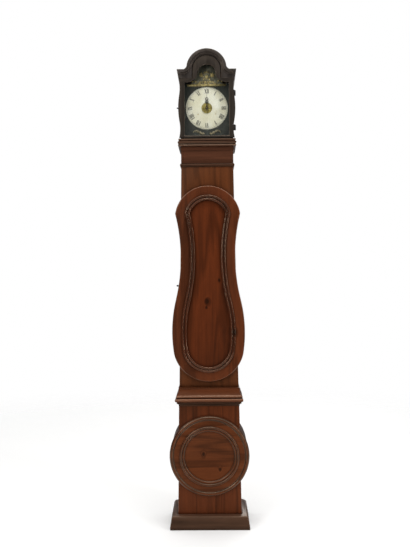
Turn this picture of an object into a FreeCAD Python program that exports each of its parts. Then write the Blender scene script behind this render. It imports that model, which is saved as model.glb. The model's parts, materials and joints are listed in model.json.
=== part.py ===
import FreeCAD
import Part
import math
import os

# A tall French case clock: plinth, drum base, violin-shaped trunk door, arched hood,
# and an iron-caged weight-driven movement with a pendulum. Millimetres, +Z up, front to -Y.

# Overall case
plinth_depth = 290.0
plinth_height = 70.0
plinth_overhang = 39.0
plinth_toe = 12.0
plinth_lean = 7.0
plinth_round = 14.0
case_board = 20.0
back_thickness = 12.0
moulding_bite = 4.0
cut_margin = 5.0

# Base box with its drum
base_height = 640.0
base_half_bottom = 160.0
base_half_top = 151.0
drum_centre_height = 362.0
drum_radius = 200.0
drum_board = 18.0
drum_cheek_inset = 4.0
drum_bead = 8.0
drum_rim_width = 20.0
drum_rim_proud = 3.0
drum_rim_groove = 2.5
drum_ring_outer = 149.0
drum_ring_inner = 125.0
drum_ring_proud = 10.0
drum_ring_valley = 4.0
drum_panel_recess = 5.0

# Trunk, measured up from the base
trunk_height = 1190.0
trunk_half_bottom = 150.0
trunk_half_top = 131.0
trunk_front_setback = 20.0
trunk_board = 18.0
waist_drop = 30.0
waist_rise = 62.0
waist_torus_out = 20.0
waist_torus_radius = 9.0
waist_fascia = 11.0
collar_height = 18.0
collar_proud = 6.0

# Trunk door: two lobes joined by a waist, between the waist moulding and the collar
door_foot_gap = 30.0
door_head_gap = 115.0
door_corner_half = 163.0
door_corner_drop = 140.0
door_waist_half = 136.7
door_waist_drop = 347.0
door_flank_share = 0.415
door_belly_half = 182.5
door_belly_rise = 253.0
door_foot_half = 174.0
door_foot_rise = 140.0
door_thickness = 22.0
door_edge_round = 5.0
door_frame_width = 62.0
door_panel_thickness = 12.0
door_panel_setback = 8.0
door_bead_start = 46.0
door_bead_width = 11.0
door_bead_gap = 5.0
door_bead_proud = 8.0
door_bead_round = 5.0
door_bead_base = 2.5
door_opening_half = 88.0
door_opening_foot = 88.0
door_opening_head = 75.0
door_opening_corner = 40.0
pull_rise = 70.0
pull_reach = 9.0
pull_radius = 4.5
pull_stem = 2.7

# Hinges of both doors
trunk_hinge_x = 152.0
trunk_hinge_gap = 7.0
trunk_hinge_rise = 278.0
trunk_hinge_drop = 150.0
trunk_knuckle_radius = 6.0
trunk_pin_radius = 3.0
trunk_leaf_width = 8.0
hood_hinge_x = 141.0
hood_hinge_gap = 7.0
hood_hinge_rise = 54.0
hood_hinge_drop = 68.0
hood_knuckle_radius = 5.0
hood_pin_radius = 2.5
knuckle_height = 20.0
pin_clearance = 0.06
pin_end = 3.0
hinge_gap = 0.4
leaf_thickness = 3.0

# Hood, measured up from the trunk and down from its arch
hood_height = 570.0
hood_half = 131.5
hood_board = 14.0
frieze_thickness = 10.0
frieze_overhang = 5.0
hood_moulding_rise = 63.0
hood_moulding_height = 60.0
hood_moulding_cove = 12.0
hood_moulding_fascia = 14.0
hood_moulding_swell = 2.2
hood_door_gap = 4.0
hood_door_thickness = 16.0
hood_door_round = 3.0
hood_door_drop = 46.0
hood_lobe_radius = 70.0
hood_lobe_gap = 4.0
hood_shoulder_drop = 2.0
hood_shoulder_half = 149.0
hood_shoulder_foot = 141.0
hood_shoulder_gap = 1.0
hood_arch_radius = 101.0
hood_flare_height = 22.0
hood_flare_reach = 15.0
hood_cornice_proud = 13.0
hood_cornice_band = 14.0
hood_cornice_step = 7.0
hood_roof_inset = 2.0
hood_roof_thickness = 9.0
hood_door_flare = 139.0
hood_door_narrow = 134.0
hood_door_bulge = 143.5
hood_door_neck = 135.5
hood_door_joint_half = 138.0
hood_door_top_half = 141.0
hood_door_narrow_rise = 38.0
hood_door_joint_rise = 84.0
hood_door_joint_drop = 82.0
hood_door_neck_drop = 57.0
glass_opening_half = 111.5
glass_sill = 9.0
glass_shoulder_drop = 19.0
glass_arch_half = 45.0
glass_arch_rise = 19.0
glass_arch_top_rise = 24.0
glass_hollow = 10.5
glass_thickness = 2.5
glass_lip = 5.0
glass_setback = 7.0
knob_stem = 2.0
knob_radius = 3.5
knob_reach = 5.0

# Dial, measured from its centre
dial_rise = 155.0
dial_plate_half = 113.0
dial_plate_drop = 150.0
dial_plate_rise = 126.0
dial_plate_front = -61.0
dial_plate_thickness = 2.0
dial_radius = 106.0
dial_edge = 2.0
dial_dome = 5.0
dial_hole_radius = 6.0
winding_hole_radius = 3.3
winding_square = 4.2
centre_disc_radius = 27.0
centre_disc_thickness = 1.2
fronton_half = 100.0
fronton_strip = 10.0
fronton_strip_drop = 4.0
fronton_rail_proud = 3.0
fronton_rise = 96.0
fronton_arch_half = 58.0
fronton_arch_foot = 36.0
fronton_shoulder = 12.0
fronton_hollow = 15.0
fronton_thickness = 3.0
fronton_rose_radius = 15.0
fronton_rose_rise = 42.0
fronton_boss_proud = 2.5

# Movement cage on its seat
seat_drop = 118.0
seat_thickness = 22.0
seat_front = -55.0
seat_clearance = 8.0
seat_cheek = 14.0
seat_cheek_drop = 140.0
rope_slot = 16.0
rope_slot_depth = 36.0
cage_half = 105.0
cage_front = -40.0
cage_back = 90.0
cage_plate = 4.0
cage_height = 240.0
pillar_side = 10.0
bar_thickness = 4.0
bar_margin = 9.0
pivot_radius = 1.5
pivot_clearance = 0.06
end_shake = 0.5
arbor_radius = 2.5
thin_arbor_radius = 1.8

# Trains: tooth counts and layers
barrel_offset = 45.0
barrel_drop = 30.0
barrel_radius = 22.0
barrel_flange = 29.0
barrel_front = -28.0
barrel_back = 10.0
flange_thickness = 3.0
barrel_arbor_radius = 4.0
ratchet_teeth = 24
great_teeth = 72
centre_leaves = 6
centre_teeth = 45
third_leaves = 6
third_teeth = 48
escape_leaves = 6
escape_teeth = 30
strike_teeth = 48
pin_leaves = 8
pin_teeth = 48
pin_count = 8
fly_leaves = 6
fly_half = 18.0
fly_vane = 1.6
motion_module = 0.9
cannon_leaves = 10
reverse_teeth = 30
reverse_leaves = 8
hour_teeth = 32
wheel_thickness = 3.5
leaf_overlap = 2.0
great_layer = 16.0
centre_layer = 26.0
third_layer = 44.0
escape_layer = 62.0
pin_layer = 34.0
fly_layer = 70.0
centre_mesh = 34.0
escape_mesh = 28.35
third_angle = 65.0
pin_angle = 105.0
fly_angle = 80.0
escape_wheel_radius = 22.0
anchor_rise = 90.0
anchor_gap = 1.5
anchor_bow = 4.5

hour_layer = -55.0
cannon_layer = -47.0
hour_pipe_radius = 4.0
hour_hand_y = -72.0
minute_hand_y = -76.0
hand_thickness = 1.2
hand_tail = 24.0
minute_hand_length = 76.0
minute_ring_rise = 44.0
hour_hand_length = 52.0
hour_ring_rise = 31.0

# Pendulum, weights and ropes
crutch_y = 98.0
crutch_thickness = 3.0
crutch_length = 94.0
fork_clearance = 0.4
pendulum_y = 106.0
pendulum_length = 1040.0
pendulum_rod_radius = 3.0
pendulum_nut = 8.0
bob_radius = 56.0
bob_thickness = 22.0
bob_rim = 2.0
weight_radius = 28.0
weight_height = 190.0
weight_shoulder = 9.0
rope_length = 1090.0
rope_radius = 2.5
rope_clearance = 0.3
hook_height = 30.0
hook_radius = 4.0

# Bell and hammer
bell_radius = 52.0
bell_height = 46.0
bell_wall = 3.0
bell_lift = 14.0
bell_y = 30.0
bell_stem = 4.0
bell_nut = 8.0
hammer_gap = 5.0
hammer_head = 9.0
hammer_tail = 23.0
hammer_place = (-85.0, 70.0)

# Shared places worked out from the sizes above
back_y = plinth_depth / 2.0
case_back = back_y - back_thickness
base_front_y = plinth_overhang - plinth_depth / 2.0
trunk_front_y = base_front_y + trunk_front_setback
trunk_top = base_height + trunk_height
waist_bottom = base_height - waist_drop
waist_top = base_height + waist_rise
door_bottom = waist_top + door_foot_gap
door_top = trunk_top - door_head_gap
door_front_y = trunk_front_y - door_thickness
door_opening_bottom = door_bottom + door_opening_foot
door_opening_top = door_top - door_opening_head
trunk_hinge_heights = (door_bottom + trunk_hinge_rise, door_top - trunk_hinge_drop)
hood_top = trunk_top + hood_height
hood_moulding_bottom = trunk_top + hood_moulding_rise
hood_moulding_top = hood_moulding_bottom + hood_moulding_height
hood_door_bottom = hood_moulding_top + hood_door_gap
hood_arch_centre = hood_top - hood_arch_radius
hood_shoulder_top = hood_arch_centre - hood_shoulder_drop
hood_door_shoulder = hood_arch_centre - hood_door_drop
hood_hinge_heights = (hood_door_bottom + hood_hinge_rise, hood_door_shoulder - hood_hinge_drop)
hood_door_joints = (hood_door_bottom + hood_door_joint_rise, hood_door_shoulder - hood_door_joint_drop)
hood_door_middle = (hood_door_joints[0] + hood_door_joints[1]) / 2.0
frieze_front = trunk_front_y - frieze_overhang
hood_front_y = frieze_front - hood_door_thickness
hood_inner = hood_half - hood_board
hood_roof_foot = hood_shoulder_top - hood_roof_inset - hood_roof_thickness
dial_centre_height = hood_door_bottom + dial_rise
dial_plate_bottom = dial_centre_height - dial_plate_drop
dial_plate_top = dial_centre_height + dial_plate_rise
fronton_top = dial_plate_top + fronton_rise
seat_top = dial_centre_height - seat_drop
seat_cheek_bottom = trunk_top - seat_cheek_drop
anchor_height = dial_centre_height + anchor_rise
crutch_low = anchor_height - crutch_length
centre = (0.0, dial_centre_height)


def vec(x, y, z):
    return FreeCAD.Vector(x, y, z)


def base_half(z):
    return base_half_bottom + (base_half_top - base_half_bottom) * z / base_height


def trunk_half(z):
    share = (z - base_height) / (trunk_top - base_height)
    return trunk_half_bottom + (trunk_half_top - trunk_half_bottom) * share


def box(x, y, z):
    return Part.makeBox(x[1] - x[0], y[1] - y[0], z[1] - z[0], vec(x[0], y[0], z[0]))


def rod_y(place, radius, y0, y1):
    return Part.makeCylinder(radius, y1 - y0, vec(place[0], y0, place[1]), vec(0, 1, 0))


def rod_z(x, y, radius, z0, z1):
    return Part.makeCylinder(radius, z1 - z0, vec(x, y, z0), vec(0, 0, 1))


def front_wire(points):
    corners = [vec(x, 0, z) for x, z in points]
    return Part.makePolygon(corners + corners[:1])


def front_prism(wire, y0, y1):
    face = Part.Face(wire)
    face.translate(vec(0, y0, 0))
    return face.extrude(vec(0, y1 - y0, 0))


def front_ring(outer, inner, y0, y1):
    return front_prism(outer, y0, y1).cut(front_prism(inner, y0, y1))


def shrunk(wire, distance):
    return wire.makeOffset2D(-distance)


def arc(a, b, c):
    points = [vec(x, 0, z) for x, z in (a, b, c)]
    return Part.Arc(*points).toShape()


def line(a, b):
    return Part.makeLine(vec(a[0], 0, a[1]), vec(b[0], 0, b[1]))


def joined(shapes):
    return shapes[0].multiFuse(shapes[1:]).removeSplitter()


def mirrored(piece):
    return piece.mirror(vec(0, 0, 0), vec(1, 0, 0))


# A moulding that wraps the front and both sides of the case, mitred at the front corners.
# The profile is a closed wire of (outward, height) drawn in the XZ plane.
def wrapped_moulding(profile, half, front, back, core):
    bounds = profile.BoundBox
    reach = bounds.XMax + 1.0
    depth = 1.0 - bounds.XMin
    low = bounds.ZMin - 1.0
    high = bounds.ZMax + 1.0

    def wedge(corners):
        floor = [vec(x, y, low) for x, y in corners]
        return Part.Face(Part.makePolygon(floor + floor[:1])).extrude(vec(0, 0, high - low))

    face = Part.Face(profile)
    right = face.copy()
    right.translate(vec(half, front - reach, 0))
    right = right.extrude(vec(0, back - front + reach, 0))
    right = right.common(wedge([(half - depth, front + depth), (half + reach, front - reach),
                                (half + reach, back), (half - depth, back)]))
    left = right.mirror(vec(0, 0, 0), vec(1, 0, 0))
    span = half + reach
    bar = face.copy()
    bar.rotate(vec(0, 0, 0), vec(0, 0, 1), -90)
    bar.translate(vec(-span, front, 0))
    bar = bar.extrude(vec(2 * span, 0, 0))
    bar = bar.common(wedge([(depth - half, front + depth), (half - depth, front + depth),
                            (half + reach, front - reach), (-half - reach, front - reach)]))
    return joined([bar, right, left]).cut(core)


def tapered_core(half, z0, z1, front, back):
    outline = front_wire([(-half(z0), z0), (half(z0), z0), (half(z1), z1), (-half(z1), z1)])
    return front_prism(outline, front, back)


# Plinth: a skirting board with a rounded top edge, wrapped round the base on three sides
def make_plinth():
    out = plinth_overhang
    face = out - plinth_lean
    shoulder = plinth_height - plinth_round - 2.0
    lip = plinth_height - plinth_round / 3.5
    edges = [line((-moulding_bite, 0), (out, 0)),
             line((out, 0), (out, plinth_toe)),
             line((out, plinth_toe), (face, shoulder)),
             arc((face, shoulder), (face - 0.3 * plinth_round, shoulder + 0.57 * plinth_round),
                 (face - plinth_round, lip)),
             line((face - plinth_round, lip), (plinth_overhang / 5.0, plinth_height)),
             line((plinth_overhang / 5.0, plinth_height), (-moulding_bite, plinth_height)),
             line((-moulding_bite, plinth_height), (-moulding_bite, 0))]
    core = tapered_core(base_half, -cut_margin, base_height, base_front_y, back_y)
    return wrapped_moulding(Part.Wire(edges), base_half_bottom, base_front_y, back_y, core)


def make_base_front():
    outline = front_wire([(-base_half(0), 0), (base_half(0), 0),
                          (base_half(base_height), base_height), (-base_half(base_height), base_height)])
    return front_prism(outline, base_front_y, base_front_y + case_board)


def make_base_side():
    outline = front_wire([(base_half(0) - case_board, 0), (base_half(0), 0),
                          (base_half(base_height), base_height),
                          (base_half(base_height) - case_board, base_height)])
    return front_prism(outline, base_front_y + case_board, case_back)


# One plank from the floor to the top of the trunk
def make_back_board():
    outline = front_wire([(-base_half(0), 0), (base_half(0), 0),
                          (base_half(base_height), base_height),
                          (trunk_half(base_height), base_height), (trunk_half(trunk_top), trunk_top),
                          (-trunk_half(trunk_top), trunk_top), (-trunk_half(base_height), base_height),
                          (-base_half(base_height), base_height)])
    return front_prism(outline, case_back, back_y)


# Turned disc: rounded rim, flat band, raised double ring and a sunk middle
def make_drum_disc():
    back = 0.0
    front = drum_board
    crest = (drum_radius - drum_rim_width / 2.0, front + drum_rim_proud)
    groove = (drum_radius - drum_rim_width, front - drum_rim_groove)
    ring_mid = (drum_ring_outer + drum_ring_inner) / 2.0
    ring_top = front + drum_ring_proud
    ring_foot = drum_ring_outer
    half_ring = (drum_ring_outer - drum_ring_inner) / 4.0
    edges = [line((0, back), (drum_radius, back)),
             line((drum_radius, back), (drum_radius, front - drum_bead)),
             arc((drum_radius, front - drum_bead), (drum_radius - 0.17 * drum_rim_width, front), crest),
             arc(crest, (drum_radius - 0.84 * drum_rim_width, front + 0.4 * drum_rim_proud), groove),
             line(groove, (groove[0] - drum_rim_groove, front)),
             line((groove[0] - drum_rim_groove, front), (ring_foot, front)),
             arc((ring_foot, front), (ring_mid + half_ring, ring_top), (ring_mid, front + drum_ring_valley)),
             arc((ring_mid, front + drum_ring_valley), (ring_mid - half_ring, ring_top - drum_ring_valley),
                 (drum_ring_inner, front - drum_panel_recess)),
             line((drum_ring_inner, front - drum_panel_recess), (0, front - drum_panel_recess)),
             line((0, front - drum_panel_recess), (0, back))]
    disc = Part.Face(Part.Wire(edges)).revolve(vec(0, 0, 0), vec(0, 0, 1), 360)
    disc.rotate(vec(0, 0, 0), vec(1, 0, 0), 90)
    disc.translate(vec(0, base_front_y, drum_centre_height))
    return disc


# Round cheek outside one side of the base, behind the disc
def make_drum_cheek():
    radius = drum_radius - drum_cheek_inset
    whole = rod_y((0, drum_centre_height), radius, base_front_y, back_y)
    core = tapered_core(base_half, 0.0, base_height, base_front_y - cut_margin, back_y + cut_margin)
    pieces = whole.cut(core).Solids
    return [piece for piece in pieces if piece.CenterOfMass.x > 0 and
            abs(piece.CenterOfMass.z - drum_centre_height) < radius / 2.0][0]


# Waist moulding where the trunk stands on the base: sloped skirt, torus and cove
def make_waist_moulding():
    fascia = waist_fascia
    torus = base_height
    low = torus - waist_torus_radius
    high = torus + waist_torus_radius
    skirt = waist_bottom + 0.62 * (low - waist_bottom)
    fillet = high + 13.0
    edges = [line((-moulding_bite, waist_bottom), (0.14 * fascia, waist_bottom)),
             arc((0.14 * fascia, waist_bottom), (0.32 * fascia, waist_bottom + 0.7 * (skirt - waist_bottom)),
                 (fascia, skirt)),
             line((fascia, skirt), (fascia, low)),
             arc((fascia, low), (waist_torus_out, torus), (fascia, high)),
             line((fascia, high), (1.14 * fascia, high + 3.0)),
             arc((1.14 * fascia, high + 3.0), (1.32 * fascia, fillet - 5.0), (1.05 * fascia, fillet)),
             arc((1.05 * fascia, fillet), (0.41 * fascia, fillet + 0.3 * (waist_top - fillet)),
                 (0.18 * fascia, waist_top)),
             line((0.18 * fascia, waist_top), (-moulding_bite, waist_top)),
             line((-moulding_bite, waist_top), (-moulding_bite, waist_bottom))]
    core = joined([tapered_core(base_half, waist_bottom - cut_margin, base_height, base_front_y, back_y),
                   tapered_core(trunk_half, base_height, trunk_top, trunk_front_y, back_y)])
    whole = wrapped_moulding(Part.Wire(edges), base_half_top, base_front_y, back_y, core)
    ledge = box((-base_half_top, base_half_top), (base_front_y - 1.0, trunk_front_y),
                (base_height, waist_top))
    return joined([whole, ledge.cut(core)])


def make_trunk_side():
    outline = front_wire([(trunk_half(base_height) - trunk_board, base_height),
                          (trunk_half(base_height), base_height), (trunk_half(trunk_top), trunk_top),
                          (trunk_half(trunk_top) - trunk_board, trunk_top)])
    return front_prism(outline, trunk_front_y + case_board, case_back)


def make_trunk_front():
    outline = front_wire([(-trunk_half(base_height), base_height), (trunk_half(base_height), base_height),
                          (trunk_half(trunk_top), trunk_top), (-trunk_half(trunk_top), trunk_top)])
    board = front_prism(outline, trunk_front_y, trunk_front_y + case_board)
    hole = box((-door_opening_half, door_opening_half),
               (trunk_front_y - cut_margin, trunk_front_y + case_board + cut_margin),
               (door_opening_bottom, door_opening_top))
    corners = [edge for edge in hole.Edges if abs(edge.tangentAt(edge.FirstParameter).y) > 0.9]
    return board.cut(hole.makeFillet(door_opening_corner, corners))


def make_trunk_collar():
    foot = collar_proud / 4.0
    low = trunk_top - collar_height
    middle = trunk_top - collar_height / 2.0
    edges = [line((-moulding_bite, low), (foot, low)),
             arc((foot, low), (collar_proud, middle), (foot, trunk_top)),
             line((foot, trunk_top), (-moulding_bite, trunk_top)),
             line((-moulding_bite, trunk_top), (-moulding_bite, low))]
    core = tapered_core(trunk_half, base_height, trunk_top + cut_margin, trunk_front_y, back_y)
    return wrapped_moulding(Part.Wire(edges), trunk_half(middle), trunk_front_y, back_y, core)


# Closed outline of the trunk door from six arcs
def other(point):
    return (-point[0], point[1])


door_corner = (door_corner_half, door_top - door_corner_drop)
door_waist = (door_waist_half, door_top - door_waist_drop)
door_belly = (door_belly_half, door_bottom + door_belly_rise)
door_foot = (door_foot_half, door_bottom + door_foot_rise)
flank_steps = 40


# Point where the waist arc runs into the belly arc without a kink, found by halving
def smooth_flank():
    height = door_belly[1] + door_flank_share * (door_waist[1] - door_belly[1])
    narrow = door_waist_half
    wide = door_belly_half
    for step in range(flank_steps):
        flank = ((narrow + wide) / 2.0, height)
        joint = vec(flank[0], 0, height)
        inward = arc(door_corner, door_waist, flank).Curve.Center - joint
        outward = arc(flank, door_belly, door_foot).Curve.Center - joint
        if inward.cross(outward).y > 0:
            narrow = flank[0]
        else:
            wide = flank[0]
    return flank


door_flank = smooth_flank()


def door_outline():
    return Part.Wire([arc(other(door_corner), (0, door_top), door_corner),
                      arc(door_corner, door_waist, door_flank),
                      arc(door_flank, door_belly, door_foot),
                      arc(door_foot, (0, door_bottom), other(door_foot)),
                      arc(other(door_foot), other(door_belly), other(door_flank)),
                      arc(other(door_flank), other(door_waist), other(door_corner))])


def make_trunk_door():
    outer = door_outline()
    board = front_ring(outer, shrunk(outer, door_frame_width), door_front_y, trunk_front_y)
    return board.makeFillet(door_edge_round, front_edges(board, door_front_y, outer))


# Edges of a solid that lie in its front plane, along one outline
def front_edges(solid, front, outline):
    found = []
    for edge in solid.Edges:
        if edge.BoundBox.YMax < front + 0.01:
            if outline.distToShape(edge.translated(vec(0, -front, 0)))[0] < 0.01:
                found.append(edge)
    return found


def make_trunk_door_panel():
    front = door_front_y + door_panel_setback
    return front_prism(shrunk(door_outline(), door_frame_width), front, front + door_panel_thickness)


# Round-topped bead that follows the door's outline at a distance inside it
def door_bead(start, y_back):
    outer = shrunk(door_outline(), start)
    inner = shrunk(door_outline(), start + door_bead_width)
    front = door_front_y - door_bead_proud
    bead = front_ring(outer, inner, front, y_back)
    rims = front_edges(bead, front, outer) + front_edges(bead, front, inner)
    return bead.makeFillet(door_bead_round, rims)


def make_trunk_door_moulding():
    outline = door_outline()
    valley = door_front_y - door_bead_base
    second = door_bead_start + door_bead_width + door_bead_gap
    seat = shrunk(outline, door_frame_width)
    floor = front_ring(shrunk(outline, door_bead_start + door_bead_round), seat, valley, door_front_y)
    inside = front_ring(seat, shrunk(outline, second + door_bead_round), valley,
                        door_front_y + door_panel_setback)
    beads = [door_bead(door_bead_start, door_front_y), door_bead(second, door_front_y + door_panel_setback)]
    return joined([floor, inside] + beads)


# Small turned knob that points to -X: a stem with a ball on its end
def turned_knob(stem_radius, ball_radius, reach, start):
    rise = math.sqrt(ball_radius ** 2 - stem_radius ** 2)
    edges = [line((0, 0), (stem_radius, 0)),
             line((stem_radius, 0), (stem_radius, reach - rise)),
             arc((stem_radius, reach - rise), (ball_radius, reach), (0, reach + ball_radius)),
             line((0, reach + ball_radius), (0, 0))]
    knob = Part.Face(Part.Wire(edges)).revolve(vec(0, 0, 0), vec(0, 0, 1), 360)
    knob.rotate(vec(0, 0, 0), vec(0, 1, 0), -90)
    knob.translate(start)
    return knob


# Half width of the door at a height on its waist, from the circle through the waist's three points
def waist_half(z):
    curve = arc(door_corner, door_waist, door_flank).Curve
    return curve.Center.x - math.sqrt(curve.Radius ** 2 - (z - curve.Center.z) ** 2)


def make_trunk_door_pull():
    height = door_flank[1] + pull_rise
    place = vec(pull_stem - waist_half(height), trunk_front_y - door_thickness / 2.0, height)
    knob = turned_knob(pull_stem, pull_radius, pull_reach, place)
    return knob.cut(front_prism(door_outline(), door_front_y, trunk_front_y))


# Outer outline of the hood's arched front, closed along its lower edge
def hood_outline():
    low = hood_door_shoulder + hood_shoulder_gap
    join_z = hood_arch_centre + hood_flare_height
    join_x = math.sqrt(hood_arch_radius ** 2 - hood_flare_height ** 2)
    flat_x = join_x + hood_flare_reach
    bend = (join_x + hood_flare_reach * 0.33, hood_shoulder_top + (join_z - hood_shoulder_top) * 0.33)
    foot = (hood_shoulder_foot, low)
    tip = (hood_shoulder_half, hood_shoulder_top)
    flat = (flat_x, hood_shoulder_top)
    spring = (join_x, join_z)

    def side(turn):
        return [line(turn(foot), turn(tip)), line(turn(tip), turn(flat)),
                arc(turn(flat), turn(bend), turn(spring))]

    crown = arc(spring, (0, hood_top), other(spring))
    sill = line(other(foot), foot)
    return Part.Wire(Part.sortEdges(side(tuple) + [crown] + side(other) + [sill])[0])


# Room for the arched head of the hood door: straight jambs under a half circle
def lobe_prism(radius, low, y0, y1):
    jambs = box((-radius, radius), (y0, y1), (low, hood_arch_centre))
    return joined([jambs, rod_y((0, hood_arch_centre), radius, y0, y1)])


def make_hood_cornice():
    outline = hood_outline()
    low = hood_door_shoulder + hood_shoulder_gap
    proud_front = hood_front_y - hood_cornice_proud
    plate = front_prism(outline, hood_front_y, frieze_front)
    inner = shrunk(outline, hood_cornice_band)
    step = shrunk(outline, hood_cornice_band + hood_cornice_step)
    crown = front_ring(outline, inner, proud_front, hood_front_y)
    second = front_ring(inner, step, hood_front_y - hood_cornice_proud / 2.0, hood_front_y)
    bands = joined([crown, second])
    below = box((-hood_shoulder_half, hood_shoulder_half), (proud_front, hood_front_y),
                (low - cut_margin, hood_shoulder_top - hood_cornice_band - hood_cornice_step))
    front = joined([plate, bands.cut(below)])
    front = front.cut(lobe_prism(hood_lobe_radius + hood_lobe_gap, low - cut_margin,
                                 proud_front - cut_margin, frieze_front))
    profile = front_wire([(hood_half, low), (hood_shoulder_foot, low),
                          (hood_shoulder_half, hood_shoulder_top), (hood_half, hood_shoulder_top)])
    right = front_prism(profile, frieze_front, back_y)
    return joined([front, right, mirrored(right)])


# Thin boards bent over the arch, with flat shoulders over the sides
def make_hood_roof():
    outer = shrunk(hood_outline(), hood_roof_inset)
    inner = shrunk(hood_outline(), hood_roof_inset + hood_roof_thickness)
    shell = front_ring(outer, inner, frieze_front, case_back)
    return shell.common(box((-hood_half, hood_half), (frieze_front, case_back), (hood_roof_foot, hood_top)))


def make_hood_back():
    arch = front_prism(shrunk(hood_outline(), hood_roof_inset), case_back, back_y)
    arch = arch.common(box((-hood_half, hood_half), (case_back, back_y), (hood_roof_foot, hood_top)))
    return joined([arch, box((-hood_half, hood_half), (case_back, back_y), (trunk_top, hood_roof_foot))])


def make_hood_side():
    return box((hood_inner, hood_half), (frieze_front, case_back), (trunk_top, hood_roof_foot))


def make_hood_frieze():
    depth = (frieze_front, frieze_front + frieze_thickness)
    return box((-hood_inner, hood_inner), depth, (trunk_top, hood_moulding_top))


def make_hood_base_moulding():
    low = hood_moulding_bottom
    top = hood_moulding_top
    cove = hood_moulding_cove
    fascia = hood_moulding_fascia
    step = low + 0.43 * hood_moulding_height
    swell = low + 0.57 * hood_moulding_height
    edges = [line((-moulding_bite, low), (1.0, low)),
             arc((1.0, low), (0.5 * cove, low + 0.23 * hood_moulding_height),
                 (cove, low + 0.37 * hood_moulding_height)),
             line((cove, low + 0.37 * hood_moulding_height), (fascia, step)),
             line((fascia, step), (fascia, swell)),
             arc((fascia, swell), (fascia + hood_moulding_swell, low + 0.73 * hood_moulding_height),
                 (fascia - 1.0, top - 0.1 * hood_moulding_height)),
             line((fascia - 1.0, top - 0.1 * hood_moulding_height), (fascia - 4.0, top)),
             line((fascia - 4.0, top), (-moulding_bite, top)),
             line((-moulding_bite, top), (-moulding_bite, low))]
    core = box((-hood_half, hood_half), (frieze_front, back_y + cut_margin),
               (low - cut_margin, top + cut_margin))
    return wrapped_moulding(Part.Wire(edges), hood_half, frieze_front, back_y, core)


def hood_door_outline():
    flare = (hood_door_flare, hood_door_bottom)
    narrow = (hood_door_narrow, hood_door_bottom + hood_door_narrow_rise)
    low_joint = (hood_door_joint_half, hood_door_joints[0])
    bulge = (hood_door_bulge, hood_door_middle)
    high_joint = (hood_door_joint_half, hood_door_joints[1])
    neck = (hood_door_neck, hood_door_shoulder - hood_door_neck_drop)
    shoulder = (hood_door_top_half, hood_door_shoulder)
    corner = (hood_lobe_radius, hood_door_shoulder)
    springing = (hood_lobe_radius, hood_arch_centre)

    def side(turn):
        return [arc(turn(flare), turn(narrow), turn(low_joint)),
                arc(turn(low_joint), turn(bulge), turn(high_joint)),
                arc(turn(high_joint), turn(neck), turn(shoulder)),
                line(turn(shoulder), turn(corner)),
                line(turn(corner), turn(springing))]

    crown = arc(springing, (0, hood_arch_centre + hood_lobe_radius), other(springing))
    foot = line(other(flare), flare)
    return Part.Wire(Part.sortEdges(side(tuple) + [crown] + side(other) + [foot])[0])


# Sight of the glass: straight jambs, hollow shoulders and a round head
def glass_outline():
    sill = (glass_opening_half, hood_door_bottom + glass_sill)
    jamb = (glass_opening_half, hood_door_shoulder - glass_shoulder_drop)
    foot = (glass_arch_half, hood_door_shoulder + glass_arch_rise)
    hollow = ((jamb[0] + foot[0]) / 2.0 - glass_hollow, jamb[1] + glass_hollow)
    edges = [line(other(sill), sill), line(sill, jamb), arc(jamb, hollow, foot),
             arc(foot, (0, hood_arch_centre + glass_arch_top_rise), other(foot)),
             arc(other(foot), other(hollow), other(jamb)), line(other(jamb), other(sill))]
    return Part.Wire(edges)


def make_hood_door():
    sight = glass_outline()
    board = front_ring(hood_door_outline(), sight, hood_front_y, frieze_front)
    board = board.makeFillet(hood_door_round, front_edges(board, hood_front_y, sight))
    rebate = front_prism(shrunk(sight, -glass_lip), hood_front_y + glass_setback, frieze_front)
    return board.cut(rebate)


def make_hood_door_glass():
    front = hood_front_y + glass_setback
    return front_prism(shrunk(glass_outline(), -glass_lip), front, front + glass_thickness)


def make_hood_door_knob():
    y = (hood_front_y + frieze_front) / 2.0
    place = vec(knob_stem / 2.0 - hood_door_bulge, y, hood_door_middle)
    knob = turned_knob(knob_stem, knob_radius, knob_reach, place)
    return knob.cut(front_prism(hood_door_outline(), hood_front_y, frieze_front))


# Pins of a pair of hinges, each on an arm and a plate that seat on the case's right side
def hinge_pins(axis, heights, knuckle, pin, half, core):
    x, y = axis
    pieces = []
    for height in heights:
        top = height - knuckle_height / 2.0 - hinge_gap
        low = top - knuckle
        seat = half(height) - leaf_thickness
        plate = box((seat, half(height) + leaf_thickness), (y - knuckle, y + 5.0 * knuckle),
                    (low - knuckle, top))
        arm = box((seat, x), (y - 0.8 * knuckle, y + 0.8 * knuckle), (low, top))
        boss = rod_z(x, y, knuckle, low, top)
        stem = rod_z(x, y, pin, low, height + knuckle_height / 2.0 + pin_end)
        pieces.append(joined([plate, arm, boss, stem]).cut(core))
    return Part.makeCompound(pieces)


# Eyes that turn on those pins, each on a leaf that is fixed to the door
def hinge_eyes(axis, heights, knuckle, pin, leaf_at, body):
    x, y = axis
    pieces = []
    for height in heights:
        span = (height - knuckle_height / 2.0, height + knuckle_height / 2.0)
        ring = rod_z(x, y, knuckle, *span)
        leaf_x, leaf_y = leaf_at(height)
        whole = joined([ring, box(leaf_x, leaf_y, span)]).cut(body)
        pieces.append(whole.cut(rod_z(x, y, pin + pin_clearance, *span)))
    return Part.makeCompound(pieces)


trunk_hinge_axis = (trunk_hinge_x, trunk_front_y + trunk_hinge_gap)
hood_hinge_axis = (hood_hinge_x, frieze_front + hood_hinge_gap)


def make_trunk_hinge_pins():
    core = tapered_core(trunk_half, base_height, trunk_top, trunk_front_y, back_y)
    return hinge_pins(trunk_hinge_axis, trunk_hinge_heights, trunk_knuckle_radius, trunk_pin_radius,
                      trunk_half, core)


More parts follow.
